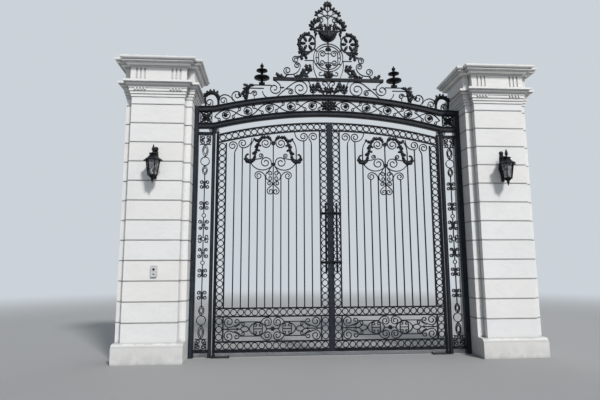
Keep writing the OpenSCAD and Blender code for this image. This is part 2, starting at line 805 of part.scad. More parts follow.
// Under the bar: a leaf on the centre line, a rosette and the great spiral
module inner_crest_2d() {
    // Upright leaf with a curl
    bend(30, -260, 70, [[190, 50], [60, -130], [30, -150], [22, -70]]);
    bend(60, -250, 30, [[120, 60], [46, -140], [34, -60]]);
    box_2d(90, -60, 104, 2);
    leaf_2d(30, -200, 74, 120, 15);
    leaf_2d(140, -120, 60, 90, 14);
    // Rosette in a ring
    ring_2d(265, -163, 58, 13);
    for (a = [0:60:300]) translate([265, -163]) rotate(a) petal_2d(6, 50, 11);
    for (a = [-26, 26]) translate([265, -163]) rotate(a) box_2d(-8, 50, 8, 190);
    box_2d(257, -270, 273, -218);
    // Great spiral, which leaves the rail as a long diagonal
    bend(900, -320, 133, [[28, 0], [1800, 7], [134, 0], [227, 33], [122, 100], [114, 76], [96, 90], [80, 90], [62, 90],
        [46, 95], [34, 75]]);
    box_2d(470, -22, 500, 1);
    box_2d(462, -280, 474, -238);
    scroll(642, -196, 180, concat(volute(46, 6, -1), [[74, 0]]));
}

// Under the end of the bar: the second spiral and the bar that carries the finial
module middle_crest_2d() {
    bend(938, 4, 200, [[260, 24], [124, 46], [92, 80], [84, 80], [66, 90], [50, 90], [38, 90], [28, 60]]);
    bend(755, -120, -40, [[50, 60], [20, 0]], 22);
    bend(950, -340, 40, [[60, -28], [30, 0], [140, 66], [170, 4]]);
    // Level bar with a hooked end, which carries the finial
    bend(958, -finial_drop - seat - 41.6, 116, [[24, -116], [300, 0]], 14);
    box_2d(1090, -157, 1376, -143);
    scroll(1250, -240, 90, volute(48, 6, -1));
    box_2d(1290, -246, 1384, -234);
    box_2d(1244, -340, 1256, -283);
}

// Outside the finial: acanthus S, two spirals and the acanthus curl that ends the crest
module outer_crest_2d() {
    bend(1262, -finial_drop - 10, 3, [[74, -70], [304, -16], [90, 0], [100, 50], [60, 0]], leaf_t);
    for (i = [0:3]) leaf_2d(1352 + 9 * i, -112 - i * 52, 18 - 14 * i, 96 - 6 * i, 19);
    bend(1500, -428, 28, [[48, 0], [159, 39], [82, 110], [60, 90], [50, 90], [36, 90], [30, 60]]);
    bend(1600, -372, 60, [[30, 0], [145, -55], [93, -104], [200, 20]]);
    bend(1700, -470, 90, [[50, 0], [300, -10], [50, -90], [46, -90], [36, -90], [26, -90], [20, -40]]);
    bend(1842, -470, 90, [[60, 0], [190, -36], [120, -50], [80, -80], [200, -20], [120, 0]], leaf_t);
    for (i = [0:4]) leaf_2d(1880 + 38 * i, -268 + 34 * sin(20 + i * 40), 124 - 32 * i, 62, 16);
    leaf_2d(1478, -296, 60, 70, 20);
    bend(1930, -500, 90, [[60, 0], [300, 4], [52, -90], [50, -90], [40, -90], [30, -90], [24, -40]]);
}

// Scrolls and leaves that stand on the bar beside the medallion
module crest_curls() {
    for (s = [-1, 1]) gate_side(s) color(iron) upright(flat_d) clear_of_frame() translate([0, crest_top]) difference() {
        union() {
            // Acanthus that climbs from the bar
            bend(512, -10, 150, [[130, 0], [300, -25], [38, 0]], leaf_t);
            leaf_2d(300, 190, 70, 66, 22);
            leaf_2d(350, 140, 72, 120, 27);
            leaf_2d(400, 90, 64, 96, 24);
            leaf_2d(450, 50, 84, 78, 20);
            leaf_2d(324, 160, 222, 58, 17);
            leaf_2d(420, 44, 190, 90, 17);
            // C scroll between two eyes, with a leaf that runs down to the bar
            scroll(530, 226, 90, c_scroll(52, 6, [[160, 90], [55, 0]], 66, 6, 1, 1));
            bend(560, -4, 66, [[70, 0]], 16);
            bend(680, 66, -24, [[80, -26], [60, 0]], 22);
            // Leafy curl on the bar
            leaf_2d(760, 10, 12, 130, 20);
            leaf_2d(840, 14, 58, 92, 17);
            leaf_2d(800, 10, 92, 60, 15);
            // Ring curl on the C scroll, with an acanthus that carries the side ring
            box_2d(538, 270, 556, 290);
            bend(322, 462, -42, [[300, 28], [50, 0], [70, 20]], leaf_t);
            scroll(562, 332, 0, concat(volute(56, 6, 1), [[40, 60], [20, 0]]));
            leaf_2d(396, 404, 246, 74, 24);
            leaf_2d(462, 400, 262, 84, 26);
        }
        translate([side_ring_x, side_ring_up]) side_oval_2d(side_ring_r + seat);
    }
}

// Two rings round a tracery of scrolls, on a leaf and two bowed props
module crest_medallion() {
    z = medallion_up;
    r = medallion_r;
    reach = sqrt(side_ring_x * side_ring_x + (side_ring_up - side_ring_r * 0.2 - z) * (side_ring_up - side_ring_r * 0.2 - z));
    rise = asin((side_ring_up - side_ring_r * 0.2 - z) / reach);
    color(iron) translate([0, mid_y, 0]) upright(flat_d) clear_of_frame() translate([0, crest_top]) {
        ring_2d(0, z, r, 13);
        ring_2d(0, z, r - 40, 13);
        for (a = [30:60:330]) translate([0, z]) rotate(a) box_2d(r - 42, -9, r - 10, 9);
        box_2d(-10, z + r - 8, 10, bowl_up - bowl_r - seat);
        paired() {
            // Neck that meets the side ring
            difference() {
                translate([0, z]) rotate(rise) box_2d(r - 6, -13, reach - side_ring_r + 12, 13);
                translate([side_ring_x, side_ring_up]) side_oval_2d(side_ring_r + seat);
            }
            bend(190, -2, 62, [[620, 20], [120, 8], [100, 0]], 12);
            box_2d(r - 9, z - 64, r + 150, z - 52);
            // Leaf under the rings, with a curl on each side
            bend(4, 0, 20, [[150, 30], [40, -80], [30, 180], [60, 30]], 14);
            leaf_2d(20, 10, 66, 120, 22);
            leaf_2d(4, 30, 88, 130, 20);
            // Tracery
            scroll(104, z + 72, 90, c_scroll(60, 6, [[150, 0]], 52, 6, -1, -1));
            box_2d(0, z + 66, 48, z + 78);
            box_2d(0, z - 96, 62, z - 84);
            box_2d(160, z - 6, r - 45, z + 6);
            leaf_2d(0, z - 190, 62, 100, 17);
            leaf_2d(0, z + 190, -62, 90, 15);
            box_2d(0, z - r + 44, 6, z + r - 44);
        }
    }
}

// Upright oval, a circle drawn out in height
module side_oval_2d(r) {
    tall = side_ring_r * 0.2;
    for (m = [-1, 1]) translate([0, m * tall]) circle(r = r, $fn = 48);
    square([2 * r, 2 * tall], center = true);
}

// Upright oval rings with a rosette inside and leaves round the outer edge
module crest_side_rings() {
    for (s = [-1, 1]) gate_side(s) color(iron) upright(flat_d + 8) translate([side_ring_x, crest_top + side_ring_up]) {
        difference() {
            union() {
                side_oval_2d(side_ring_r);
                for (i = [0:6]) leaf_2d((side_ring_r - 14) * cos(26 * i - 64), 1.2 * (side_ring_r - 14) * sin(26 * i - 64),
                    26 * i - 40, 66, 22);
            }
            side_oval_2d(side_ring_r - 26);
        }
        // Six petals that point inward from the ring
        for (i = [0:5]) rotate(60 * i) petal_2d(30, side_ring_r * (i % 3 == 0 ? 0.93 : 1.06), 25);
    }
}

module crest_bowl() {
    color(iron) translate([0, mid_y, crest_top + bowl_up]) {
        // Flattened half round, with a rim
        intersection() {
            difference() {
                sphere(r = bowl_r);
                translate([-2 * bowl_r, -2 * bowl_r, 0]) cube(4 * bowl_r);
            }
            translate([-2 * bowl_r, -bowl_d / 2, -2 * bowl_r]) cube([4 * bowl_r, bowl_d, 2 * bowl_r + eps]);
        }
        translate([-bowl_r - 8, -bowl_d / 2 - 5, -eps]) cube([2 * bowl_r + 16, bowl_d + 10, 22 + eps]);
    }
}

// Acanthus that rises beside the bowl, and the palmette that crowns the gateway
module crest_palmette() {
    z = crest_top + bowl_up + 22 + seat;
    color(iron) translate([0, mid_y, z]) upright(flat_d) difference() {
        paired() {
            box_2d(0, 0, 7, palmette_h - 90);
            bend(0, 228, 60, [[251, -21], [387, -12], [39, -145], [90, -32]]);
            scroll(118, 218, 0, concat(volute(52, 6, 1), [[60, -20], [90, 0]]));
            leaf_2d(4, 60, 52, 110, 15);
            leaf_2d(4, 10, 56, 90, 15);
            bend(0, 350, 62, [[180, -22], [34, -190]]);
            leaf_2d(54, 408, 96, 62, 18);
            leaf_2d(84, 404, 48, 62, 18);
            leaf_2d(99, 380, 0, 50, 15);
            leaf_2d(148, 344, 80, 60, 18);
            leaf_2d(174, 332, 38, 60, 18);
            leaf_2d(184, 304, -6, 50, 15);
            for (i = [0:2]) leaf_2d(0, palmette_h - 95, 90 - 38 * i, 95 - 6 * i, 17);
            // Acanthus beside the bowl
            bend(130, 12, -20, [[90, 170], [50, 0]], leaf_t);
            leaf_2d(250, 40, 0, 70, 22);
            leaf_2d(256, 84, 28, 86, 27);
            leaf_2d(242, 124, 54, 90, 28);
            leaf_2d(212, 158, 76, 92, 28);
            leaf_2d(172, 182, 98, 88, 26);
            leaf_2d(206, 60, 156, 74, 24);
            leaf_2d(150, 60, 112, 110, 26);
            leaf_2d(104, 20, 84, 104, 24);
        }
        box_2d(-bowl_r - 8 - seat, -200, bowl_r + 8 + seat, 0);
    }
}

module crest_finials() {
    for (s = [-1, 1]) gate_side(s) color(iron) translate([crest_half + finial_x, 0, finial_z]) {
        translate([-50, -22, 0]) cube([100, 44, 38]);
        translate([0, 0, 36]) cylinder(r = 22, h = 300);
        translate([0, 0, 84]) finial_disc(130, 74);
        translate([0, 0, 224]) finial_disc(94, 46);
        translate([0, 0, 330]) sphere(r = 32);
        translate([0, 0, 350]) cylinder(r1 = 16, r2 = 3, h = 42);
    }
}

// A turned disc with a rounded rim
module finial_disc(r, h) {
    cylinder(r1 = r * 0.5, r2 = r, h = h * 0.38);
    translate([0, 0, h * 0.38]) cylinder(r = r, h = h * 0.24);
    translate([0, 0, h * 0.62]) cylinder(r1 = r, r2 = r * 0.5, h = h * 0.38);
}

/* Leaves, drawn as the right leaf */

// Heel side: the heel stile with its pivots, and a column of rings held by a thin stile
module leaf_heel() {
    top = arch_at(leaf_r0, heel_x0) - seat;
    color(iron) {
        // Heel stile, rounded on the pivot side
        translate([0, 0, leaf_z]) linear_extrude(height = arch_at(leaf_r3, heel_x1) - leaf_z) {
            translate([axis_x, 0]) circle(d = stile_w);
            translate([heel_x0, -stile_d / 2]) square([stile_w / 2, stile_d]);
        }
        translate([axis_x, 0, plate_t / 2 + 2]) cylinder(d = pin_d, h = leaf_z - plate_t / 2);
        translate([axis_x, 0, leaf_z]) cylinder(d = pin_d, h = arch_at(leaf_r3, heel_x1) + 44 - leaf_z);
        upright(flat_d) {
            ring_column((heel_x0 + heel_lath_x1) / 2, bars_z, top);
            ring_column((heel_x0 + heel_lath_x1) / 2, panel_z, mid_z);
        }
        upright(30) {
            box_2d(heel_lath_x0, bars_z, heel_lath_x1, top);
            box_2d(heel_lath_x0, panel_z, heel_lath_x1, mid_z);
        }
    }
}

module leaf_meeting_side() {
    top = arch_at(leaf_r0, meet_lath_x1) - seat;
    color(iron) {
        upright(stile_d) box_2d(meet_x0, leaf_z, meet_x1, arch_at(leaf_r3, meet_x1));
        upright(flat_d) {
            ring_column((meet_x1 + meet_lath_x0) / 2, bars_z, top);
            ring_column((meet_x1 + meet_lath_x0) / 2, panel_z, mid_z);
        }
        upright(30) {
            box_2d(meet_lath_x0, bars_z, meet_lath_x1, top);
            box_2d(meet_lath_x0, panel_z, meet_lath_x1, mid_z);
        }
    }
}

// Thin arched rail of the leaf between two stiles
module leaf_arc(r0, r1) {
    intersection() {
        translate([0, arch_z]) difference() {
            circle(r = r1, $fn = 360);
            circle(r = r0, $fn = 360);
        }
        box_2d(meet_x1, arch_z, heel_x0, arch_z + r1 + 1);
    }
}

module leaf_top_band() {
    rr = (leaf_r1 + leaf_r2) / 2;
    a0 = asin((meet_x1 + ring_d / 2 + 1) / rr);
    a1 = asin((heel_x0 - ring_d / 2 - 2) / rr);
    n = floor((a1 - a0) * PI / 180 * rr / ring_d);
    step = (a1 - a0) / n;
    color(iron) {
        upright(36) {
            leaf_arc(leaf_r2, leaf_r3);
            leaf_arc(leaf_r0, leaf_r1);
        }
        upright(flat_d) for (i = [0:n]) {
            a = a0 + i * step;
            ring_2d(rr * sin(a), arch_z + rr * cos(a), ring_d / 2 + eps, ring_t);
        }
    }
}

module leaf_mid_band() {
    color(iron) {
        upright(36) {
            box_2d(meet_x1, mid_z, heel_x0, mid_ring_z);
            box_2d(meet_x1, bars_z - lath_w, heel_x0, bars_z);
        }
        upright(flat_d) ring_row(mid_ring_z + ring_d / 2, meet_x1, heel_x0);
    }
}

module leaf_bottom_band() {
    color(iron) {
        upright(stile_d) box_2d(meet_x1, leaf_z, heel_x0, ring_z);
        upright(36) box_2d(meet_x1, panel_z - lath_w, heel_x0, panel_z);
        upright(flat_d) ring_row(ring_z + ring_d / 2, meet_x1, heel_x0);
    }
}

// Upright bars with their curled tops
module leaf_bars() {
    color(iron) upright(bar_w) intersection() {
        union() {
            for (i = [1:bars_n]) bar_2d(i);
            translate([leaf_cx, 0]) paired() bar_scrolls_2d();
            top_curls_2d();
        }
        translate([0, arch_z]) circle(r = leaf_r0 - seat, $fn = 360);
    }
}

// One bar: those in the middle stop under the lyre, the rest run up to their curl or the band
module bar_2d(i) {
    k = abs(i - (bars_n + 1) / 2);
    x = meet_lath_x1 + i * bar_pitch;
    full = arch_at(leaf_r0, x) + 10;
    top = k == 0 ? lyre_z + lyre_h : k == 1 ? lyre_z - 230 : k == 2 ? lyre_z - 182 - bar_scroll_r :
          k == 3 ? lyre_z + 244 : k == 4 ? full - 2 * top_curl_r - 18 : curl_z(x + 28 * (x < leaf_cx ? -1 : 1)) - 134;
    box_2d(x - bar_w / 2, bars_z, x + bar_w / 2, top);
}

// Bars one to three from the middle, drawn to the right of it
module bar_scrolls_2d() {
    // Bar one swings out into the scroll that stands on bar two
    x1 = bar_pitch;
    r = 2 * bar_pitch - 8 - bar_scroll_r * 0.133 - x1;
    scroll(2 * bar_pitch - 8, lyre_z - 182, 0, concat(volute(bar_scroll_r, 6, 1),
        [[r, 90], [lyre_z - 182 + bar_scroll_r - r - (lyre_z - 240), 0]]));
    // Bar three leans in to the shoulder of the lyre
    translate([3 * bar_pitch, lyre_z + 243]) rotate(90) strap([[262, 44]]);
    translate([3 * bar_pitch - 66, lyre_z + 424]) circle(r = 22, $fn = 24);
}

// Height of the eye of a curled top at a distance from the centre line
function curl_z(x) = arch_at(leaf_r0, x) - top_curl_r - 20;

// Curled tops of the outer bars, under the arched band
module top_curls_2d() {
    for (m = [-1, 1]) translate([leaf_cx, 0]) mirror([m < 0 ? 1 : 0, 0]) {
        // The outermost bar steps towards the middle and curls back over itself
        x5 = 5 * bar_pitch;
        e5 = x5 + 28;
        z5 = curl_z(leaf_cx + m * e5);
        reach = top_curl_r + x5 - e5;
        scroll(e5, z5, 90, concat(volute(top_curl_r, 6, 1),
            [[reach * 2.14, 40], [reach * 2.14, -40], [20, 0]]));
        // The next one carries a scroll whose tail runs to the shoulder of the lyre
        e4 = 4 * bar_pitch;
        scroll(e4, curl_z(leaf_cx + m * e4), 0, concat(volute(top_curl_r, 6, -1), [[140, -88], [30, 0]]));
    }
}

module leaf_lyre() {
    color(iron) translate([0, -bar_w / 2 - flat_d / 2 - seat, 0]) {
        upright(flat_d) translate([leaf_cx, lyre_z]) paired() lyre_2d();
        translate([0, -8, 0]) upright(flat_d + 16) translate([leaf_cx, lyre_z]) paired() lyre_arm_2d();
    }
}

// Right half of the lyre's thin scrolls, drawn up from its collar
module lyre_2d() {
    // Collar and top knot on the middle bar
    square([52, 46], center = true);
    translate([0, lyre_h]) circle(r = 36, $fn = 32);
    // Scrolls beside the collar and beside the knot
    scroll(30 + heart_r, 34, 90, concat(volute(heart_r, 6, 1), [[40, 0]]));
    scroll(44 + horn_r, lyre_h - 6, -90, concat(volute(horn_r, 6, -1), [[20, 0]]));
    // Lower arms of the heart, from the collar out to the feet
    rotate(-58) strap([[208, 112], [44, 0]]);
    // Small scroll inside each foot
    scroll(200, 138, 180, concat(volute(curl_r, 5, 1), [[45, 80], [95, 0]]));
    // Struts from the collar to the first pair of the chain
    rotate(-47) strap([[150, -10], [110, 0], [90, -30]]);
    chain_2d();
}

// Leafy arm of the lyre; its foot is a crescent with a curled tip
module lyre_arm_2d() {
    translate([30, lyre_h + 33]) rotate(65) strap([[110, -140], [275, 0]], arm_t);
    translate([378, lyre_h - 242]) {
        difference() {
            circle(r = foot_r, $fn = 72);
            translate([0, 22]) circle(r = foot_r - 31, $fn = 72);
            translate([-foot_r - 1, 14]) square([2 * foot_r + 2, foot_r]);
        }
        translate([foot_r - 15, 6]) rotate(88) strap([[44, 62], [26, 60]], arm_t - 4);
    }
}

// Scrolls down the middle bar, under the collar
module chain_2d() {
    scroll(57, -159, 0, c_scroll(curl_r, 4, [[62, -90], [26, 0], [62, -90]], curl_r, 4, -1, -1));
    translate([57, -283]) square([26, 24], center = true);
    scroll(57, -322, -180, concat(volute(curl_r - 2, 4, 1),
        [[42, 90], [25, 45], [85, 0], [52, -135]], volute_in(40, 4, -1)));
    translate([0, -327]) square([44, 40], center = true);
    translate([0, -466]) square([40, 30], center = true);
}

module leaf_panel_scrolls() {
    color(iron) translate([leaf_cx, 0, (panel_z + mid_z) / 2]) upright(flat_d)
        for (m = [0, 1]) mirror([0, m]) paired() panel_quarter_2d();
}

// Upper right quarter of the lower panel's scrollwork, drawn from the panel's middle
module panel_quarter_2d() {
    edge_x = bay_w / 2 - seat;
    edge_z = panel_h / 2 - seat;
    // Boss in the middle, knots at the crossings and the spear out to the stile
    circle(r = 34, $fn = 32);
    box_2d(30, 0, 104, 8);
    translate([cross_x, 0]) circle(r = 15, $fn = 24);
    box_2d(cross_x + 126, 0, edge_x, 8);
    translate([cross_x + 182, 0]) circle(r = 20, $fn = 32);
    translate([edge_x - 60, 0]) circle(r = 17, $fn = 32);
    // Lens between the boss and the crossing, and the small one past it
    lens_2d(90, cross_x, lens_h);
    lens_2d(cross_x, cross_x + 132, 40);
    // Scroll beside the boss, its tail running into the bar towards the corner
    scroll(mid_r + 8, edge_z - scroll_t / 2 - mid_r, 180, concat(volute(mid_r, 6, -1), [[100, -48], [30, 0]]));
    box_2d(166, edge_z - 78, edge_x - 236, edge_z - 64);
    // Corner scroll with a small one at its other end
    scroll(edge_x - corner_r - 118, edge_z - 68, -90,
        c_scroll(small_r, 4, [[48, 70], [100, 0], [corner_r, 20]], corner_r, 6, 1, 1));
    // Hook from the spear up beside the small scroll
    scroll(cross_x + 100, 66, 0, concat(volute(28, 4, -1), [[50, -38], [70, 0], [60, 30], [10, 0]]));
    // Cluster of four small scrolls inside the lens
    scroll(226 + 36, 50, -90, concat(volute(26, 4, -1), [[52, 0]]));
    scroll(226 - 36, 50, -90, concat(volute(26, 4, 1), [[52, 0]]));
    box_2d(226 - 72, 0, 226 + 72, 7);
}

// Two flat arcs between two points on the middle line, bulging upward by a height
module lens_2d(x0, x1, h) {
    half = (x1 - x0) / 2;
    r = (half * half + h * h) / (2 * h);
    a = asin(half / r);
    arc_2d((x0 + x1) / 2, h - r, r, 90 - a, 90 + a);
}

module leaf_handle() {
    hx = meet_x1 + ring_d / 2 - 14;
    hy = -stile_d / 2 - handle_out;
    color(iron) {
        translate([hx, hy, handle_z]) cylinder(d = handle_d, h = handle_l);
        for (z = [handle_z, handle_z + handle_l]) translate([hx, hy, z]) sphere(d = handle_d * 1.4);
        for (z = [handle_z + 150, handle_z + handle_l - 150]) {
            translate([hx, hy, z]) rotate([-90, 0, 0]) cylinder(d = 16, h = handle_out - 6);
            translate([meet_x0, -stile_d / 2 - 8 - seat, z - 20]) cube([ring_d + stile_w + lath_w, 8, 40]);
        }
    }
}

pier_side(-1) pier_plinth();  // left_pier_plinth
pier_side(-1) pier_shaft();  // left_pier_shaft
pier_side(-1) pier_frieze();  // left_pier_frieze
pier_side(-1) pier_cornice();  // left_pier_cornice
pier_side(1) pier_plinth();  // right_pier_plinth
pier_side(1) pier_shaft();  // right_pier_shaft
pier_side(1) pier_frieze();  // right_pier_frieze
pier_side(1) pier_cornice();  // right_pier_cornice
pier_side(-1) lantern();  // left_lantern
pier_side(-1) lantern_glass();  // left_lantern_glass
pier_side(1) lantern();  // right_lantern
pier_side(1) lantern_glass();  // right_lantern_glass
call_box();
gate_side(-1) jamb();  // left_jamb
gate_side(1) jamb();  // right_jamb
gate_side(-1) hanging_post();  // left_hanging_post
gate_side(1) hanging_post();  // right_hanging_post
gate_side(-1) side_panel();  // left_side_panel
gate_side(1) side_panel();  // right_side_panel
floor_plates();
overthrow_lower_rail();
overthrow_upper_rail();
gate_side(-1) frieze_scrolls();  // left_frieze_scrolls
gate_side(1) frieze_scrolls();  // right_frieze_scrolls
frieze_rosette();
gate_side(-1) crest_scrolls();  // left_crest_scrolls
gate_side(1) crest_scrolls();  // right_crest_scrolls
crest_bar();
crest_curls();
crest_medallion();
crest_side_rings();
crest_bowl();
crest_palmette();
crest_finials();
gate_side(-1) leaf_heel();  // left_leaf_heel
gate_side(-1) leaf_meeting_side();  // left_leaf_meeting_side
gate_side(-1) leaf_top_band();  // left_leaf_top_band
gate_side(-1) leaf_mid_band();  // left_leaf_mid_band
gate_side(-1) leaf_bottom_band();  // left_leaf_bottom_band
gate_side(-1) leaf_bars();  // left_leaf_bars
gate_side(-1) leaf_lyre();  // left_leaf_lyre
gate_side(-1) leaf_panel_scrolls();  // left_leaf_panel_scrolls
gate_side(-1) leaf_handle();  // left_leaf_handle
gate_side(1) leaf_heel();  // right_leaf_heel
gate_side(1) leaf_meeting_side();  // right_leaf_meeting_side
gate_side(1) leaf_top_band();  // right_leaf_top_band
gate_side(1) leaf_mid_band();  // right_leaf_mid_band
gate_side(1) leaf_bottom_band();  // right_leaf_bottom_band
gate_side(1) leaf_bars();  // right_leaf_bars
gate_side(1) leaf_lyre();  // right_leaf_lyre
gate_side(1) leaf_panel_scrolls();  // right_leaf_panel_scrolls
gate_side(1) leaf_handle();  // right_leaf_handle
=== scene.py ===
"""Looks of a wrought iron driveway gateway between two stone piers.

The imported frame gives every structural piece. This script dresses it in paint, stone, glass and
steel, and adds the cast leaves, bosses, mouldings, lantern castings and handle grips.
"""

import logging
import math
from dataclasses import dataclass
from enum import Enum
from typing import Callable, Iterable, Sequence

import bmesh
import bpy
from mathutils import Euler, Matrix, Vector

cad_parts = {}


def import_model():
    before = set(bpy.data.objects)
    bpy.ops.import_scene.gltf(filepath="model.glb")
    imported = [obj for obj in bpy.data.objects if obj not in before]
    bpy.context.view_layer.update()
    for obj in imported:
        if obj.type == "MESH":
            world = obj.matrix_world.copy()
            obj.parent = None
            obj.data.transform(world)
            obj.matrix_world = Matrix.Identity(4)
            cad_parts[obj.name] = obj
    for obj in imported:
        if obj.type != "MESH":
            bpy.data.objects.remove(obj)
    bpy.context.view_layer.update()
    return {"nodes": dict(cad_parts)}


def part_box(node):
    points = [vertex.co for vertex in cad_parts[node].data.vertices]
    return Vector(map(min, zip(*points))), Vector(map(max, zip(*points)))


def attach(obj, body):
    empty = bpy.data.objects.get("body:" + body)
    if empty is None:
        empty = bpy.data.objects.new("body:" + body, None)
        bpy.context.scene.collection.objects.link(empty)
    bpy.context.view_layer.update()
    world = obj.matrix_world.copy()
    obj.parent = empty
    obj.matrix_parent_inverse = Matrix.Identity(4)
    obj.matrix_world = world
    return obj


LOG = logging.getLogger("gateway")

MM = 0.001
GATE_Y = 0.064
CREST_BAR_Z = 4.478
CREST_TOP = 4.524
LEAF_CENTRE_X = 0.930
LYRE_Z = 3.028
ARCH_Z = -3.799
FRIEZE_MID_R = 7.842
ARCH_END = 1.898
FLAT_HALF = 0.010

BMesh = bmesh.types.BMesh
Node = bpy.types.Node
Object = bpy.types.Object
Socket = bpy.types.NodeSocket
Tree = bpy.types.NodeTree
Colour = tuple[float, float, float]
Point = tuple[float, float, float]
Pair = tuple[float, float]
Line = Sequence[Pair]
Row = list[bmesh.types.BMVert]
LeafSpot = tuple[float, float, float, float, float]


class Side(Enum):
    """Which half of the gateway a piece belongs to."""

    LEFT = -1
    RIGHT = 1

    @property
    def word(self) -> str:
        """Name of the side as it stands in node names."""
        return self.name.lower()

    @property
    def leaf_body(self) -> str:
        """Body of the gate leaf on this side."""
        return f"{self.word}_leaf"


class Edges(Enum):
    """Largest angle between faces that is shaded smooth, in degrees, by kind of work."""

    CAST = 50.0
    FORGED = 40.0
    TURNED = 35.0
    CUT = 30.0


# Shader helpers


class NodeBench:
    """Short ways to place and wire nodes in one tree."""

    def __init__(self, tree: Tree) -> None:
        """Keeps the tree of a material, a world or a node group."""
        self.tree = tree

    def add(self, kind: str, **values: object) -> Node:
        """Places a node and sets its properties.

        Args:
            kind: Node type, such as ShaderNodeMath.
            values: Properties by name.

        Returns:
            The new node.
        """
        node = self.tree.nodes.new(kind)
        for name, value in values.items():
            setattr(node, name, value)
        return node

    def wire(self, source: Socket, target: Socket) -> None:
        """Joins two sockets."""
        self.tree.links.new(source, target)

    def feed(self, target: Socket, value: object) -> None:
        """Wires a socket, or sets a plain number or colour on the target.

        Args:
            target: Input socket.
            value: A socket, a number or a colour.
        """
        if isinstance(value, Socket):
            self.wire(value, target)
        elif isinstance(value, (tuple, list)) and len(value) == 3 and target.type == "RGBA":
            target.default_value = (*value, 1.0)
        else:
            target.default_value = value

    def math(self, operation: str, a: object, b: object = 0.0, clamp: bool = False) -> Socket:
        """Adds a math node.

        Args:
            operation: Its operation.
            a: First value or socket.
            b: Second value or socket.
            clamp: Whether to hold the result between 0 and 1.

        Returns:
            The result's socket.
        """
        node = self.add("ShaderNodeMath", operation=operation, use_clamp=clamp)
        self.feed(node.inputs[0], a)
        self.feed(node.inputs[1], b)
        return node.outputs[0]

    def times(self, a: object, b: object, clamp: bool = False) -> Socket:
        """Multiplies two values or sockets."""
        return self.math("MULTIPLY", a, b, clamp)

    def place(self) -> Socket:
        """Gives the place in the object's own coordinates."""
        return self.add("ShaderNodeTexCoord").outputs["Object"]

    def axis(self, vector: Socket, name: str) -> Socket:
        """Gives one part of a vector.

        Args:
            vector: The vector's socket.
            name: Name of the axis.

        Returns:
            The part's socket.
        """
        split = self.add("ShaderNodeSeparateXYZ")
        self.wire(vector, split.inputs[0])
        return split.outputs[name]

    def stretched(self, vector: Socket, scale: Point) -> Socket:
        """Scales a place by an amount along each axis.

        Args:
            vector: The place's socket.
            scale: The three amounts.

        Returns:
            The scaled place's socket.
        """
        mapping = self.add("ShaderNodeMapping")
        self.wire(vector, mapping.inputs["Vector"])
        mapping.inputs["Scale"].default_value = scale
        return mapping.outputs[0]

    def ramp(self, value: object, low: float, high: float, out: Pair = (0.0, 1.0)) -> Socket:
        """Maps a range of a value smoothly to another range.

        Args:
            value: Value or socket.
            low: Value that becomes the first output.
            high: Value that becomes the second output.
            out: The two outputs.

        Returns:
            The result's socket.
        """
        node = self.add("ShaderNodeMapRange", interpolation_type="SMOOTHSTEP", clamp=True)
        self.feed(node.inputs["Value"], value)
        for name, number in zip(("From Min", "From Max", "To Min", "To Max"), (low, high, *out)):
            node.inputs[name].default_value = number
        return node.outputs["Result"]

    def mix(self, factor: object, a: object, b: object) -> Socket:
        """Mixes two colours.

        Args:
            factor: Share of the second colour.
            a: First colour.
            b: Second colour.

        Returns:
            The mixed colour's socket.
        """
        node = self.add("ShaderNodeMix", data_type="RGBA")
        self.feed(node.inputs["Factor"], factor)
        self.feed(node.inputs[6], a)
        self.feed(node.inputs[7], b)
        return node.outputs[2]

    def noise(self, vector: object, scale: float, detail: float = 4.0, roughness: float = 0.55) -> Socket:
        """Adds a noise texture.

        Args:
            vector: Socket with the place.
            scale: Cells to a metre.
            detail: Octaves.
            roughness: Weight of the small octaves.

        Returns:
            The noise value's socket.
        """
        node = self.add("ShaderNodeTexNoise")
        self.feed(node.inputs["Vector"], vector)
        node.inputs["Scale"].default_value = scale
        node.inputs["Detail"].default_value = detail
        node.inputs["Roughness"].default_value = roughness
        return node.outputs["Fac"]

    def bump(self, height: object, strength: float, distance: float) -> Socket:
        """Adds a bump node.

        Args:
            height: Height socket.
            strength: How much of it shows.
            distance: Height of 1, in metres.

        Returns:
            The normal's socket.
        """
        node = self.add("ShaderNodeBump")
        node.inputs["Strength"].default_value = strength
        node.inputs["Distance"].default_value = distance
        self.feed(node.inputs["Height"], height)
        return node.outputs["Normal"]

    def group(self, tree: Tree, **values: object) -> Node:
        """Places a node group.

        Args:
            tree: The group.
            values: Inputs by name.

        Returns:
            The group's node.
        """
        node = self.add("ShaderNodeGroup", node_tree=tree)
        for name, value in values.items():
            self.feed(node.inputs[name], value)
        return node


def new_group(name: str, inputs: dict[str, float], outputs: Sequence[str]) -> tuple[NodeBench, Node, Node]:
    """Makes an empty shader group whose sockets are all numbers.

    Args:
        name: Name of the group.
        inputs: Input names with their first values.
        outputs: Output names.

    Returns:
        The bench, the input node and the output node.
    """
    tree = bpy.data.node_groups.new(name, "ShaderNodeTree")
    for label, value in inputs.items():
        socket = tree.interface.new_socket(name=label, in_out="INPUT", socket_type="NodeSocketFloat")
        socket.default_value = value
    for label in outputs:
        tree.interface.new_socket(name=label, in_out="OUTPUT", socket_type="NodeSocketFloat")
    bench = NodeBench(tree)
    return bench, bench.add("NodeGroupInput"), bench.add("NodeGroupOutput")


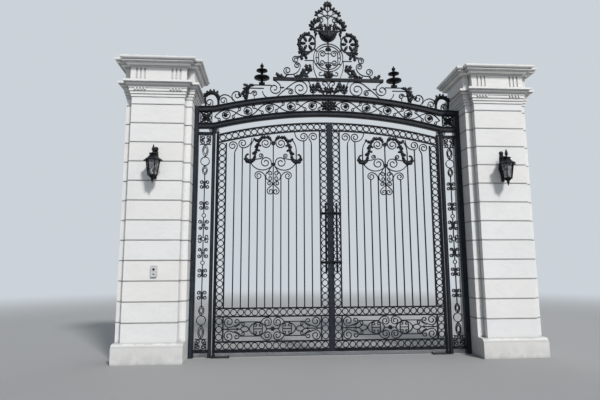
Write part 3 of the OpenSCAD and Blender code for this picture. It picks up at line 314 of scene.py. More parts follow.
def weather_group() -> Tree:
    """Dust on faces that look up, wear on edges that also serves as a painted highlight, broad mottling and a fine
    grain.

    Returns:
        The group, with outputs Dust, the edge wear with its painted highlight, Mottle and Grain.
    """
    names = ("Dust", "Wear", "Mottle", "Grain")
    bench, inp, out = new_group("weathering", {"Dust": 0.5, "Wear": 0.5, "Scale": 1.0}, names)
    sized = bench.add("ShaderNodeVectorMath", operation="SCALE")
    bench.wire(bench.place(), sized.inputs[0])
    bench.wire(inp.outputs["Scale"], sized.inputs["Scale"])
    at = sized.outputs[0]
    geometry = bench.add("ShaderNodeNewGeometry")
    mottle = bench.noise(at, 2.6, 6.0)
    grain = bench.noise(at, 160.0, 3.0, 0.6)
    up = bench.ramp(bench.axis(geometry.outputs["Normal"], "Z"), 0.35, 0.95)
    patches = bench.ramp(bench.noise(at, 22.0, 5.0), 0.36, 0.62)
    dust = bench.times(bench.times(up, patches), inp.outputs["Dust"], clamp=True)
    # Edge mask: partly real wear, partly a painted highlight along the edges.
    edge = bench.ramp(geometry.outputs["Pointiness"], 0.515, 0.60)
    rubbed_and_highlight = bench.times(edge, bench.ramp(bench.noise(at, 34.0, 4.0), 0.42, 0.66))
    wear_and_highlight = bench.times(rubbed_and_highlight, inp.outputs["Wear"], clamp=True)
    for name, socket in zip(names, (dust, wear_and_highlight, mottle, grain)):
        bench.wire(socket, out.inputs[name])
    return bench.tree


def slab_group() -> Tree:
    """Tone of each stone course, its veins, the grime in its joints and its pits.

    Returns:
        The group, with outputs Block, Vein, Joint and Pit.
    """
    names = ("Block", "Vein", "Joint", "Pit")
    bench, inp, out = new_group("stone_slabs", {"Course": 0.30, "Base": 0.58, "Joint": 0.009}, names)
    place = bench.place()
    above = bench.math("SUBTRACT", bench.axis(place, "Z"), inp.outputs["Base"])
    rise = bench.math("DIVIDE", above, inp.outputs["Course"])
    cell = bench.add("ShaderNodeCombineXYZ")
    bench.wire(bench.math("SIGN", bench.axis(place, "X")), cell.inputs[0])
    bench.wire(bench.math("FLOOR", rise), cell.inputs[1])
    tone = bench.add("ShaderNodeTexWhiteNoise", noise_dimensions="3D")
    bench.wire(cell.outputs[0], tone.inputs["Vector"])
    wave = bench.add("ShaderNodeTexNoise")
    bench.wire(bench.stretched(place, (1.0, 1.0, 3.2)), wave.inputs["Vector"])
    wave.inputs["Scale"].default_value = 2.3
    wave.inputs["Detail"].default_value = 8.0
    wave.inputs["Distortion"].default_value = 1.2
    offset = bench.math("ABSOLUTE", bench.math("SUBTRACT", wave.outputs["Fac"], 0.5))
    vein = bench.ramp(offset, 0.0, 0.045, (1.0, 0.0))
    past = bench.math("ABSOLUTE", bench.math("SUBTRACT", rise, bench.math("ROUND", rise)))
    edge = bench.math("SUBTRACT", bench.times(past, inp.outputs["Course"]), inp.outputs["Joint"])
    joint = bench.ramp(edge, -0.003, 0.004, (1.0, 0.0))
    pit = bench.ramp(bench.noise(place, 95.0, 3.0, 0.7), 0.30, 0.42, (1.0, 0.0))
    for name, socket in zip(names, (tone.outputs["Value"], vein, joint, pit)):
        bench.wire(socket, out.inputs[name])
    return bench.tree


@dataclass(frozen=True)
class Finish:
    """A finish that makes its material once, the first time it is asked for."""

    label: str

    def material(self) -> bpy.types.Material:
        """Gives the material.

        Returns:
            The material, new or from before.
        """
        found = bpy.data.materials.get(self.label)
        if found:
            return found
        made = bpy.data.materials.new(self.label)
        made.use_nodes = True
        made.node_tree.nodes.clear()
        bench = NodeBench(made.node_tree)
        output = bench.add("ShaderNodeOutputMaterial")
        shader = bench.add("ShaderNodeBsdfPrincipled")
        bench.wire(shader.outputs[0], output.inputs["Surface"])
        self.paint(bench, shader)
        return made

    def paint(self, bench: NodeBench, shader: Node) -> None:
        """Fills the Principled shader; each finish has its own way.

        Args:
            bench: Bench of the material's tree.
            shader: Its Principled node.
        """
        raise NotImplementedError


def shared(name: str, build: Callable[[], Tree]) -> Tree:
    """Gives a node group by name, built only the first time."""
    return bpy.data.node_groups.get(name) or build()


@dataclass(frozen=True)
class IronPaint(Finish):
    """Brushed black paint over forged or cast iron."""

    base: Colour = (0.0048, 0.0058, 0.0076)
    # Edge colour: partly real wear, partly a painted bluish highlight.
    worn_and_highlight: Colour = (0.040, 0.045, 0.054)
    dust: Colour = (0.070, 0.075, 0.082)
    gloss: float = 0.33
    hammer: float = 0.0004
    dusty: float = 0.35
    rubbed_and_highlight: float = 0.55
    mottle: float = 1.9
    shine: float = 0.17

    def paint(self, bench: NodeBench, shader: Node) -> None:
        """Black gloss with dusty tops, worn edges that double as a painted bluish highlight, and hammer marks.

        Args:
            bench: Bench of the material's tree.
            shader: Its Principled node.
        """
        weather = bench.group(shared("weathering", weather_group), Dust=self.dusty, Wear=self.rubbed_and_highlight, Scale=1.0)
        pale = tuple(v * self.mottle for v in self.base)
        tone = bench.mix(bench.ramp(weather.outputs["Mottle"], 0.35, 0.7), self.base, pale)
        # Worn edges, lightened partly for real wear and partly as a painted highlight.
        rubbed_and_highlight = bench.mix(weather.outputs["Wear"], tone, self.worn_and_highlight)
        bench.wire(bench.mix(weather.outputs["Dust"], rubbed_and_highlight, self.dust), shader.inputs["Base Color"])
        rough = bench.ramp(weather.outputs["Mottle"], 0.3, 0.75, (self.gloss, self.gloss + 0.16))
        dull = bench.math("ADD", rough, bench.times(weather.outputs["Dust"], 0.35), clamp=True)
        bench.wire(dull, shader.inputs["Roughness"])
        shader.inputs["Specular IOR Level"].default_value = self.shine
        dents = bench.noise(bench.place(), 42.0, 3.0)
        height = bench.math("ADD", dents, bench.times(weather.outputs["Grain"], 0.25))
        bench.wire(bench.bump(height, 0.7, self.hammer), shader.inputs["Normal"])


@dataclass(frozen=True)
class CutStone(Finish):
    """Pale dressed limestone, sawn in large blocks."""

    base: Colour = (0.80, 0.793, 0.782)
    grey: Colour = (0.67, 0.668, 0.662)
    warm: Colour = (0.80, 0.745, 0.69)
    # Dark colour of pits, joints and splashes, also used for the painted shade in hollows and creases.
    soot_and_shade: Colour = (0.17, 0.17, 0.168)
    stain: Colour = (0.40, 0.40, 0.385)
    course: float = 0.30
    foot: float = 0.58
    joint: float = 0.006
    # Reach and strength of the painted shade in hollows and creases.
    hollow_reach: float = 0.07
    hollow_painted_shade: float = 0.62
    crease_reach: float = 0.012
    crease_painted_shade: float = 0.74
    cloud_share: float = 0.5
    course_share: float = 0.38
    vein_share: float = 0.30
    pit_share: float = 0.12
    splash_share: float = 0.22
    splash_top: float = 0.30
    joint_share: float = 0.55

    def paint(self, bench: NodeBench, shader: Node) -> None:
        """Laid stone with course tones, dark joints, pits, grime low down, and painted shade in corners and creases.

        Args:
            bench: Bench of the material's tree.
            shader: Its Principled node.
        """
        weather = bench.group(shared("weathering", weather_group), Dust=0.75, Wear=0.0, Scale=0.4)
        slabs = bench.group(shared("stone_slabs", slab_group), Course=self.course, Base=self.foot, Joint=self.joint)
        place = bench.place()
        cloudy = bench.ramp(weather.outputs["Mottle"], 0.30, 0.72)
        low = bench.ramp(bench.axis(place, "Z"), 0.0, self.splash_top, (1.0, 0.0))
        splash = bench.times(low, bench.ramp(bench.noise(place, 7.0, 6.0), 0.35, 0.65))
        # Painted shade: ambient occlusion darkens hollows and creases towards the dark colour, in place of shade in the
        # mouldings.
        hollow = bench.add("ShaderNodeAmbientOcclusion", samples=6)
        hollow.inputs["Distance"].default_value = self.hollow_reach
        shade = bench.ramp(hollow.outputs["AO"], 0.20, 0.92, (self.hollow_painted_shade, 0.0))
        crease = bench.add("ShaderNodeAmbientOcclusion", samples=4)
        crease.inputs["Distance"].default_value = self.crease_reach
        line = bench.ramp(crease.outputs["AO"], 0.40, 0.88, (self.crease_painted_shade, 0.0))
        tone: object = self.base
        for layer, share, colour in (
                (cloudy, self.cloud_share, self.grey),
                (slabs.outputs["Block"], self.course_share, self.warm),
                (slabs.outputs["Vein"], self.vein_share, self.grey),
                (slabs.outputs["Pit"], self.pit_share, self.soot_and_shade),
                (splash, self.splash_share, self.soot_and_shade),
                # painted shade in hollows and creases
                (bench.math("MAXIMUM", shade, line), 1.0, self.soot_and_shade),
                (weather.outputs["Dust"], 1.0, self.stain),
                (slabs.outputs["Joint"], self.joint_share, self.soot_and_shade)):
            tone = bench.mix(bench.times(layer, share), tone, colour)
        bench.wire(tone, shader.inputs["Base Color"])
        bench.wire(bench.ramp(weather.outputs["Mottle"], 0.3, 0.7, (0.55, 0.74)), shader.inputs["Roughness"])
        shader.inputs["Specular IOR Level"].default_value = 0.35
        height = bench.math("SUBTRACT", bench.times(weather.outputs["Grain"], 0.5), slabs.outputs["Pit"])
        bench.wire(bench.bump(height, 0.45, 0.0008), shader.inputs["Normal"])


@dataclass(frozen=True)
class LanternGlass(Finish):
    """Seeded, slightly frosted glass."""

    tint: Colour = (0.60, 0.63, 0.64)

    def paint(self, bench: NodeBench, shader: Node) -> None:
        """Clear body with faint waves.

        Args:
            bench: Bench of the material's tree.
            shader: Its Principled node.
        """
        place = bench.place()
        haze = bench.noise(place, 30.0, 4.0)
        seeds = bench.ramp(bench.noise(bench.stretched(place, (1.0, 1.0, 0.45)), 48.0, 3.0, 0.6), 0.42, 0.62)
        bench.wire(bench.mix(seeds, tuple(v * 0.22 for v in self.tint), self.tint), shader.inputs["Base Color"])
        bench.wire(bench.ramp(haze, 0.3, 0.7, (0.22, 0.42)), shader.inputs["Roughness"])
        shader.inputs["Transmission Weight"].default_value = 0.45
        shader.inputs["IOR"].default_value = 1.45
        bench.wire(bench.bump(bench.noise(place, 55.0, 2.0), 0.3, 0.001), shader.inputs["Normal"])


@dataclass(frozen=True)
class BrushedSteel(Finish):
    """Pale brushed plate of the call box."""

    base: Colour = (0.74, 0.745, 0.75)

    def paint(self, bench: NodeBench, shader: Node) -> None:
        """Steel with a level brushed grain.

        Args:
            bench: Bench of the material's tree.
            shader: Its Principled node.
        """
        lines = bench.noise(bench.stretched(bench.place(), (20.0, 20.0, 900.0)), 1.0, 3.0)
        bench.wire(bench.mix(lines, self.base, tuple(v * 0.8 for v in self.base)), shader.inputs["Base Color"])
        bench.wire(bench.ramp(lines, 0.3, 0.7, (0.28, 0.42)), shader.inputs["Roughness"])
        shader.inputs["Metallic"].default_value = 0.25
        bench.wire(bench.bump(lines, 0.25, 0.0003), shader.inputs["Normal"])


PAINT = IronPaint("black_iron_paint")
# Lighter bluish paint of the arched rails: partly dust, partly a painted sky reflection on their faces.
RAIL_WEB = IronPaint("dusty_rail_paint_with_painted_sheen", base=(0.019, 0.022, 0.028), gloss=0.44, dusty=0.6)
POST_PAINT = IronPaint("post_paint", base=(0.013, 0.016, 0.023), gloss=0.40)
# Dark finish of the lens and button, also used for the painted shadow behind the call box.
LENS_AND_SHADOW = IronPaint("dark_lens_and_painted_shadow", base=(0.004, 0.004, 0.005), worn_and_highlight=(0.004, 0.004, 0.005), gloss=0.10,
                 hammer=0.0001, dusty=0.0)
CAST = IronPaint("black_cast_iron", base=(0.0036, 0.0045, 0.0062), gloss=0.34, hammer=0.0008, dusty=0.25)
FLOOR_IRON = IronPaint("trodden_floor_iron", base=(0.009, 0.009, 0.010), worn_and_highlight=(0.10, 0.095, 0.09),
                       dust=(0.075, 0.073, 0.07), gloss=0.46, dusty=0.6)
LAMP_PAINT = IronPaint("lantern_paint", base=(0.0048, 0.0055, 0.007), gloss=0.32, dusty=0.3)
SHAFT_STONE = CutStone("pier_shaft_stone")
# Carved stone gets deeper painted shade in its mouldings.
CARVED_STONE = CutStone("carved_stone", base=(0.80, 0.787, 0.768), course=9.0, foot=-1.0, joint=-0.02,
                        hollow_reach=0.24, hollow_painted_shade=0.38, crease_reach=0.026, crease_painted_shade=0.90)
FOOT_STONE = CutStone("plinth_stone", base=(0.62, 0.61, 0.59), course=9.0, foot=-1.0, joint=-0.02)
GLASS = LanternGlass("seeded_glass")
STEEL = BrushedSteel("brushed_steel")


# Mesh helpers


def shade_smooth(piece: Object, edges: Edges) -> None:
    """Shades faces smooth up to an edge angle.

    Args:
        piece: Mesh object.
        edges: Kind of work, which gives the angle.
    """
    mesh = piece.data
    mesh.polygons.foreach_set("use_smooth", [True] * len(mesh.polygons))
    bm = bmesh.new()
    bm.from_mesh(mesh)
    limit = math.radians(edges.value)
    for edge in bm.edges:
        edge.smooth = edge.is_manifold and edge.calc_face_angle(math.pi) < limit
    bm.to_mesh(mesh)
    bm.free()


def put(name: str, data: object) -> Object:
    """Makes an object and links it to the scene.

    Args:
        name: Its name.
        data: Its mesh, lamp or camera.

    Returns:
        The object.
    """
    made = bpy.data.objects.new(name, data)
    bpy.context.scene.collection.objects.link(made)
    return made


def make_piece(name: str, bm: BMesh, finish: Finish, edges: Edges, body: str = "frame") -> Object:
    """Turns a bmesh into a dressed piece that rides on a body.

    Args:
        name: Name of the piece.
        bm: Its geometry in metres; it is freed here.
        finish: Its finish.
        edges: Kind of work, for the shading of its edges.
        body: Body that carries it.

    Returns:
        The object.
    """
    bmesh.ops.recalc_face_normals(bm, faces=bm.faces)
    mesh = bpy.data.meshes.new(name)
    bm.to_mesh(mesh)
    bm.free()
    mesh.materials.append(finish.material())
    piece = put(name, mesh)
    shade_smooth(piece, edges)
    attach(piece, body)
    LOG.info("%s: %d faces", name, len(mesh.polygons))
    return piece


def moved(x: float, y: float, z: float) -> Matrix:
    """Placement moved by an amount along each axis."""
    return Matrix.Translation((x, y, z))


def spun(degrees: float, axis: str) -> Matrix:
    """Placement turned about an axis."""
    return Matrix.Rotation(math.radians(degrees), 4, axis)


def round_steps(count: int) -> list[float]:
    """Angles that share a full turn evenly."""
    return [2 * math.pi * k / count for k in range(count)]


def band(bm: BMesh, lower: Row, upper: Row) -> None:
    """Joins two closed rows of vertices with a band of faces.

    Args:
        bm: Mesh that grows.
        lower: One row.
        upper: The next row, of as many vertices.
    """
    for k, vert in enumerate(lower):
        after = (k + 1) % len(lower)
        bm.faces.new((vert, lower[after], upper[after], upper[k]))


def skin(bm: BMesh, rows: Sequence[Row], ring: bool = False) -> None:
    """Skins closed rows of vertices one after another.

    Args:
        bm: Mesh that grows.
        rows: The rows, each of as many vertices.
        ring: Whether the last row joins the first; otherwise both ends are capped.
    """
    for lower, upper in zip(rows, rows[1:]):
        band(bm, lower, upper)
    if ring:
        band(bm, rows[-1], rows[0])
    else:
        bm.faces.new(rows[0][::-1])
        bm.faces.new(rows[-1])


@dataclass(frozen=True)
class CastLeaf:
    """One lobed acanthus leaf: a middle petal and two pairs of side lobes, in relief on both faces."""

    length: float
    half_width: float
    relief: float = 0.012
    core: float = FLAT_HALF
    back: bool = True
    lift: float = 0.006
    overlap: float = 0.0014
    rows: int = 10
    columns: int = 8
    lobe_feet: Sequence[float] = (0.05, 0.42)
    lobe_lean: float = 40

    def add_to(self, bm: BMesh, place: Matrix) -> None:
        """Adds the leaf to a bmesh.

        Args:
            bm: Mesh that grows.
            place: Where the leaf's foot goes, with X along the leaf.
        """
        long, wide = self.length, self.half_width
        for sign in (-1, 1):
            for foot in self.lobe_feet:
                turn = moved(foot * long, 0, 0) @ spun(-sign * self.lobe_lean, "Y")
                self.petal(bm, place @ turn, -0.08 * long, 0.46 * long, 0.44 * wide, 0.72)
        self.petal(bm, place, -0.25 * long, long, 0.85 * wide)

    def petal(self, bm: BMesh, place: Matrix, start: float, end: float, wide: float, share: float = 1.0) -> None:
        """Adds one petal with a rib and two swelling halves.

        Args:
            bm: Mesh that grows.
            place: Where the petal goes.
            start: Where it begins along X.
            end: Where it ends along X.
            wide: Its half width.
            share: Share of the full relief.
        """
        middle, half = (start + end) / 2, (end - start) / 2 + self.overlap
        front: list[Row] = []
        back: list[Row] = []
        for face, sheet in ((-1, front), (1, back)):
            for i in range(self.rows + 1):
                s = -math.cos(math.pi * i / self.rows)
                full = max(0.0, 1 - s * s)
                row: Row = []
                for j in range(self.columns + 1):
                    v = -math.cos(math.pi * j / self.columns)
                    rim = j in (0, self.columns) or i in (0, self.rows)
                    if face == 1 and rim:
                        row.append(front[i][j])
                    elif i in (0, self.rows) and j > 0:
                        row.append(row[0])
                    else:
                        height = 0.0 if rim else self.height(face, full, v, share)
                        lift = self.lift * share * max(0.0, s) ** 3 if face == -1 and not rim else 0.0
                        across = v * (wide * full ** 0.62 + self.overlap)
                        spot = Vector((middle + half * s, face * height - lift, across))
                        row.append(bm.verts.new(place @ spot))
                sheet.append(row)
        for sheet, step in ((front, -1), (back, 1)):
            for i in range(self.rows):
                for j in range(self.columns):
                    corners = (sheet[i][j], sheet[i + 1][j], sheet[i + 1][j + 1], sheet[i][j + 1])
                    loop = list(dict.fromkeys(corners))
                    if len(loop) > 2:
                        bm.faces.new(loop[::step])

    def height(self, face: int, full: float, v: float, share: float) -> float:
        """Gives how far a face stands off the middle of the petal.

        Args:
            face: -1 towards the street, 1 at the back.
            full: Fullness at this place along the petal.
            v: Place across it, from -1 to 1.
            share: Share of the full relief.

        Returns:
            The height in metres.
        """
        if face == 1 and not self.back:
            return self.core * 0.9
        halves = 0.55 * (1 - v * v) ** 0.5 + 0.45 * abs(math.sin(math.pi * v))
        rib = 0.5 * math.exp(-(v / 0.16) ** 2)
        return self.core * min(1.0, 3 * full * (1 - v * v)) + self.relief * share * full ** 0.5 * (halves + rib)


def in_plane(x: float, z: float, degrees: float = 0.0, y: float = GATE_Y) -> Matrix:
    """Places something drawn in X and Z in the gate's plane, turned counter-clockwise seen from the street."""
    return moved(x, y, z) @ spun(-degrees, "Y")


def mirrored(place: Matrix, side: Side) -> Matrix:
    """Mirrors a placement where it belongs to the left half of the gateway."""
    return Matrix.Diagonal((side.value, 1, 1, 1)) @ place


def dome(bm: BMesh, place: Matrix, radius: float, rise: float, base: float = 0.0) -> None:
    """Adds a low button that swells towards the street.

    Args:
        bm: Mesh that grows.
        place: Where its centre goes; it swells along minus Y.
        radius: Its radius.
        rise: Its height.
        base: Distance of its foot from the centre.
    """
    rings, sides = 5, 20
    rows = []
    for i in range(rings):
        a = math.pi / 2 * i / rings
        wide, out = radius * math.cos(a), base + rise * math.sin(a)
        rows.append([bm.verts.new(place @ Vector((wide * math.cos(t), -out, wide * math.sin(t))))
                     for t in round_steps(sides)])
    crown = bm.verts.new(place @ Vector((0, -base - rise, 0)))
    for lower, upper in zip(rows, rows[1:]):
        band(bm, lower, upper)
    for k, vert in enumerate(rows[-1]):
        bm.faces.new((vert, rows[-1][(k + 1) % sides], crown))
    bm.faces.new(rows[0][::-1])


def turned(bm: BMesh, place: Matrix, profile: Line, sides: int = 24) -> None:
    """Adds a turned form about the upright axis.

    Args:
        bm: Mesh that grows.
        place: Where its foot goes.
        profile: Pairs of radius and height from the foot up.
        sides: Sides of a ring.
    """
    skin(bm, [[bm.verts.new(place @ Vector((radius * math.cos(t), radius * math.sin(t), height)))
               for t in round_steps(sides)] for radius, height in profile])


def block(bm: BMesh, place: Matrix, size: Point, bevel: float = 0.0015) -> None:
    """Adds a small chamfered block about its centre.

    Args:
        bm: Mesh that grows.
        place: Where its centre goes.
        size: Its three sizes.
        bevel: Width of the chamfer.
    """
    made = bmesh.ops.create_cube(bm, size=1.0, matrix=place @ Matrix.Diagonal((*size, 1)))
    edges = {edge for vert in made["verts"] for edge in vert.link_edges}
    bmesh.ops.bevel(bm, geom=list(edges), offset=bevel, segments=2, affect="EDGES", profile=0.6)


def hoop(bm: BMesh, place: Matrix, radius: float, bar: float, sides: int = 32) -> None:
    """Adds a round bar bent into a ring that faces the street.

    Args:
        bm: Mesh that grows.
        place: Where its centre goes.
        radius: Radius of the ring's middle line.
        bar: Radius of the bar.
        sides: Steps round the ring.
    """
    rows = []
    for a in round_steps(sides):
        row = []
        for t in round_steps(8):
            reach = radius + bar * math.cos(t)
            row.append(bm.verts.new(place @ Vector((reach * math.cos(a), bar * math.sin(t), reach * math.sin(a)))))
        rows.append(row)
    skin(bm, rows, ring=True)


def run_moulding(bm: BMesh, line: Line, section: Line) -> None:
    """Runs a closed section along a line of the gate's plane.

    Args:
        bm: Mesh that grows.
        line: Points of the line as X and height.
        section: Corners of the section, as distance towards the street and distance up from the line.
    """
    rows = []
    for i, (x, z) in enumerate(line):
        before, after = line[max(i - 1, 0)], line[min(i + 1, len(line) - 1)]
        along = Vector((after[0] - before[0], after[1] - before[1])).normalized()
        rows.append([bm.verts.new((x - along.y * up, GATE_Y - out, z + along.x * up)) for out, up in section])
    skin(bm, rows)


def recoat(node: Object, finish: Finish) -> None:
    """Gives a node of the frame a finish, in every slot.

    Args:
        node: The node.
        finish: Its finish.
    """
    material = finish.material()
    if not node.material_slots:
        node.data.materials.append(material)
    for slot in node.material_slots:
        slot.material = material
    LOG.info("%s: %s", node.name, finish.label)


# Sub-assemblies


@dataclass
class Piers:
    """The two stone piers, whose solids come from the frame."""

    def dress(self, nodes: dict[str, Object]) -> None:
        """Gives each course of the piers its stone.

        Args:
            nodes: The frame's nodes.
        """
        finishes = {"plinth": FOOT_STONE, "shaft": SHAFT_STONE, "frieze": CARVED_STONE, "cornice": CARVED_STONE}
        for side in Side:
            for part, finish in finishes.items():
                recoat(nodes[f"{side.word}_pier_{part}"], finish)


@dataclass
class StoneFillets:
    """Small square fillets round the taenia and the cornice of both piers.

    Each run is the reach of its inner and outer side from the shaft, then its lower and upper level.
    """

    centre_x: float = 2.721
    face: float = 0.402
    core_x: float = 0.506
    core_y: float = 0.298
    runs: Sequence[tuple[float, float, float, float]] = (
        (0.036, 0.046, 4.472, 4.481), (0.100, 0.109, 4.516, 4.527), (0.117, 0.126, 4.516, 4.527),
        (0.132, 0.142, 4.527, 4.534), (0.132, 0.140, 4.547, 4.555),
        (0.058, 0.068, 4.162, 4.175), (0.082, 0.091, 4.183, 4.190), (0.097, 0.106, 4.194, 4.2035))

    def plan(self) -> list[Pair]:
        """Draws the stepped plan of a pier.

        Returns:
            Its corners in X and Y about the middle of the pier, anticlockwise seen from above.
        """
        face, core_x, core_y = self.face, self.core_x, self.core_y
        quarter = [(face, -face), (face, -core_y), (core_x, -core_y)]
        half = quarter + [(x, -y) for x, y in reversed(quarter)]
        return half + [(-x, -y) for x, y in half]

    def run(self, bm: BMesh, centre: float, section: tuple[float, float, float, float]) -> None:
        """Runs one fillet round a pier with mitred corners.

        Args:
            bm: Mesh that grows.
            centre: Place of the pier across the gateway.
            section: Reach of its inner and outer side from the shaft, then its lower and upper level.
        """
        inner, outer, low, high = section
        plan = [Vector(corner) for corner in self.plan()]
        rows = []
        for i, corner in enumerate(plan):
            back = (corner - plan[i - 1]).normalized()
            on = (plan[(i + 1) % len(plan)] - corner).normalized()
            lean = Vector((back.y + on.y, -back.x - on.x))
            rows.append([bm.verts.new((centre + corner.x + lean.x * out, GATE_Y + corner.y + lean.y * out, z))
                         for out, z in ((inner, low), (outer, low), (outer, high), (inner, high))])
        skin(bm, rows, ring=True)

    def build(self) -> None:
        """Builds the fillets of both piers."""
        for side in Side:
            bm = bmesh.new()
            for section in self.runs:
                self.run(bm, side.value * self.centre_x, section)
            make_piece(f"{side.word}_stone_fillets", bm, CARVED_STONE, Edges.CUT)


@dataclass
class CrestLeaves:
    """Cast leaves on the crest; each spot is X, height, angle, length and half width in millimetres.

    The strap ties a side ring to the arm of the crown, and the bud is a ring by X, height, radius and bar.
    """

    under_bar: Sequence[LeafSpot] = (
        (30, -200, 74, 120, 22), (140, -120, 60, 90, 22), (1478, -296, 60, 70, 20), (96, -214, 62, 120, 20),
        (262, -163, 40, 48, 22), (262, -163, 160, 48, 22), (262, -163, 280, 48, 22),
        (1350, -128, -48, 108, 24), (1404, -196, -54, 104, 22),
        (214, -128, 118, 92, 22), (222, -136, 206, 118, 19), (126, -184, 176, 84, 17), (262, -112, 92, 66, 19),
        (298, -126, 58, 54, 16), (196, -60, 140, 52, 18), (10, -198, 56, 74, 20), (4, -200, 84, 84, 18))
    bud: tuple[float, float, float, float] = (262, -163, 50, 8)
    over_bar: Sequence[LeafSpot] = (
        (300, 190, 70, 66, 22), (350, 140, 72, 120, 27), (400, 90, 64, 96, 24), (450, 50, 84, 78, 20),
        (478, 46, 134, 128, 24), (396, 140, 152, 96, 22), (318, 186, 240, 72, 18), (560, 30, 174, 104, 17),
        (760, 10, 12, 130, 20), (840, 14, 58, 92, 17), (800, 10, 92, 60, 15), (396, 404, 246, 74, 24),
        (462, 400, 262, 84, 26), (20, 10, 66, 120, 22), (0, 186, 62, 100, 17), (0, 566, -62, 90, 15),
        (450, 560, -70, 82, 25), (452, 520, -60, 106, 28), (430, 470, -76, 90, 26), (396, 458, -96, 80, 24),
        (220, 772, 112, 64, 20), (228, 826, 92, 60, 18))
    strap: Line = (
        (229, 696), (219, 722), (214, 752), (214, 784), (219, 816), (230, 846), (246, 872), (266, 892))
    crown: Sequence[LeafSpot] = (
        (4, 60, 52, 110, 15), (4, 10, 56, 90, 15), (54, 408, 96, 62, 18), (84, 404, 48, 62, 18), (99, 380, 0, 50, 15),
        (148, 344, 80, 60, 18), (174, 332, 38, 60, 18), (184, 304, -6, 50, 15), (0, 480, 52, 89, 17),
        (0, 480, 14, 83, 17), (250, 40, 0, 70, 22), (256, 84, 28, 86, 27), (242, 124, 54, 90, 28),
        (212, 158, 76, 92, 28), (172, 182, 98, 88, 26), (206, 60, 156, 74, 24), (150, 60, 112, 110, 26),
        (104, 26, 84, 98, 24))
    middle: Sequence[LeafSpot] = ((4, 30, 88, 130, 20), (0, 1328, 90, 95, 17))
    outer: Sequence[LeafSpot] = (
        (1262, -98, 0, 84, 18), (1318, -112, -46, 92, 24), (1352, -190, -74, 88, 22), (1362, -262, -58, 104, 22),
        *((1950 + 112 * math.cos(math.radians(a)), -372 + 116 * math.sin(math.radians(a)), a - 84, 84, 29)
          for a in range(176, 36, -20)))
    fullness: float = 1.12
    ring_x: float = 350
    ring_z: float = 626
    ring_r: float = 140
    bowl_z: float = 826
    bowl_r: float = 156
    bowl_half: float = 55
    bowl_leaf_foot: float = 8
    bowl_leaf_drop: float = 10
    bowl_leaf_slope: float = 0.12
    bowl_relief: float = 0.014
    bowl_core: float = 0.004
    rim_h: float = 22
    petal_half: float = 25
    petal_foot: float = 30
    ring_core: float = 0.014
    ring_leaf_count: int = 13
    ring_leaf_step: float = 13
    ring_leaf_from: float = -64
    ring_leaf_lean: float = -40
    ring_leaf_inset: float = 14
    ring_leaf_stretch: float = 1.2
    ring_leaf_sizes: Sequence[Pair] = ((66, 24), (52, 24))
    bowl_fan: Sequence[Point] = (
        (-138, 22, 0), (138, 22, 0), (-98, 26, 4), (98, 26, 4), (-52, 28, 8), (52, 28, 8), (0, 30, 12))
    strap_section: Line = tuple((0.010 * math.cos(t), 0.009 * math.sin(t)) for t in round_steps(10))

    def leaves(self, bm: BMesh, spots: Iterable[LeafSpot], base: float, side: Side, core: float = FLAT_HALF) -> None:
        """Adds a leaf at each spot.

        Args:
            bm: Mesh that grows.
            spots: Where the leaves go, in millimetres.
            base: Height that the spots are measured from, in metres.
            side: Half of the gateway.
            core: Half thickness of the flat leaf beneath.
        """
        for x, z, degrees, length, half in spots:
            place = mirrored(in_plane(x * MM, base + z * MM, degrees), side)
            CastLeaf(length * MM, half * self.fullness * MM, core=core).add_to(bm, place)

    def build(self) -> None:
        """Builds every casting of the crest."""
        for side in Side:
            bm = bmesh.new()
            self.leaves(bm, (*self.under_bar, *self.outer), CREST_BAR_Z, side)
            self.leaves(bm, self.over_bar, CREST_TOP, side)
            self.leaves(bm, self.crown, CREST_TOP + (self.bowl_z + self.rim_h) * MM, side)
            x, z, radius, bar = (size * MM for size in self.bud)
            hoop(bm, mirrored(in_plane(x, CREST_BAR_Z + z), side), radius, bar)
            make_piece(f"{side.word}_crest_leaves", bm, CAST, Edges.CAST)
            make_piece(f"{side.word}_ring_leaves", self.ring(side), CAST, Edges.CAST)
            bm = bmesh.new()
            line = [(side.value * x * MM, CREST_TOP + z * MM) for x, z in self.strap]
            run_moulding(bm, line, self.strap_section)
            make_piece(f"{side.word}_crown_strap", bm, PAINT, Edges.CAST)
        bm = bmesh.new()
        self.leaves(bm, self.middle, CREST_TOP, Side.RIGHT)
        make_piece("middle_crest_leaves", bm, CAST, Edges.CAST)
        make_piece("bowl_leaves", self.bowl(), CAST, Edges.CAST)

    def ring(self, side: Side) -> BMesh:
        """Petals inside a side ring and leaves outside it.

        Args:
            side: Half of the gateway.

        Returns:
            Its mesh.
        """
        bm = bmesh.new()
        centre, half = CREST_TOP + self.ring_z * MM, self.petal_half * MM
        for i in range(6):
            end = self.ring_r * (0.93 if i % 3 == 0 else 1.06) * MM
            place = mirrored(in_plane(self.ring_x * MM, centre, 60 * i), side)
            CastLeaf(end, half, core=self.ring_core).petal(bm, place, self.petal_foot * MM, end, half)
        spots = []
        reach = self.ring_r - self.ring_leaf_inset
        for i in range(self.ring_leaf_count):
            turn = self.ring_leaf_step * i
            a = math.radians(turn + self.ring_leaf_from)
            x, z = self.ring_x + reach * math.cos(a), self.ring_z + self.ring_leaf_stretch * reach * math.sin(a)
            spots.append((x, z, turn + self.ring_leaf_lean, *self.ring_leaf_sizes[i % 2]))
        self.leaves(bm, spots, CREST_TOP, side, self.ring_core)
        return bm

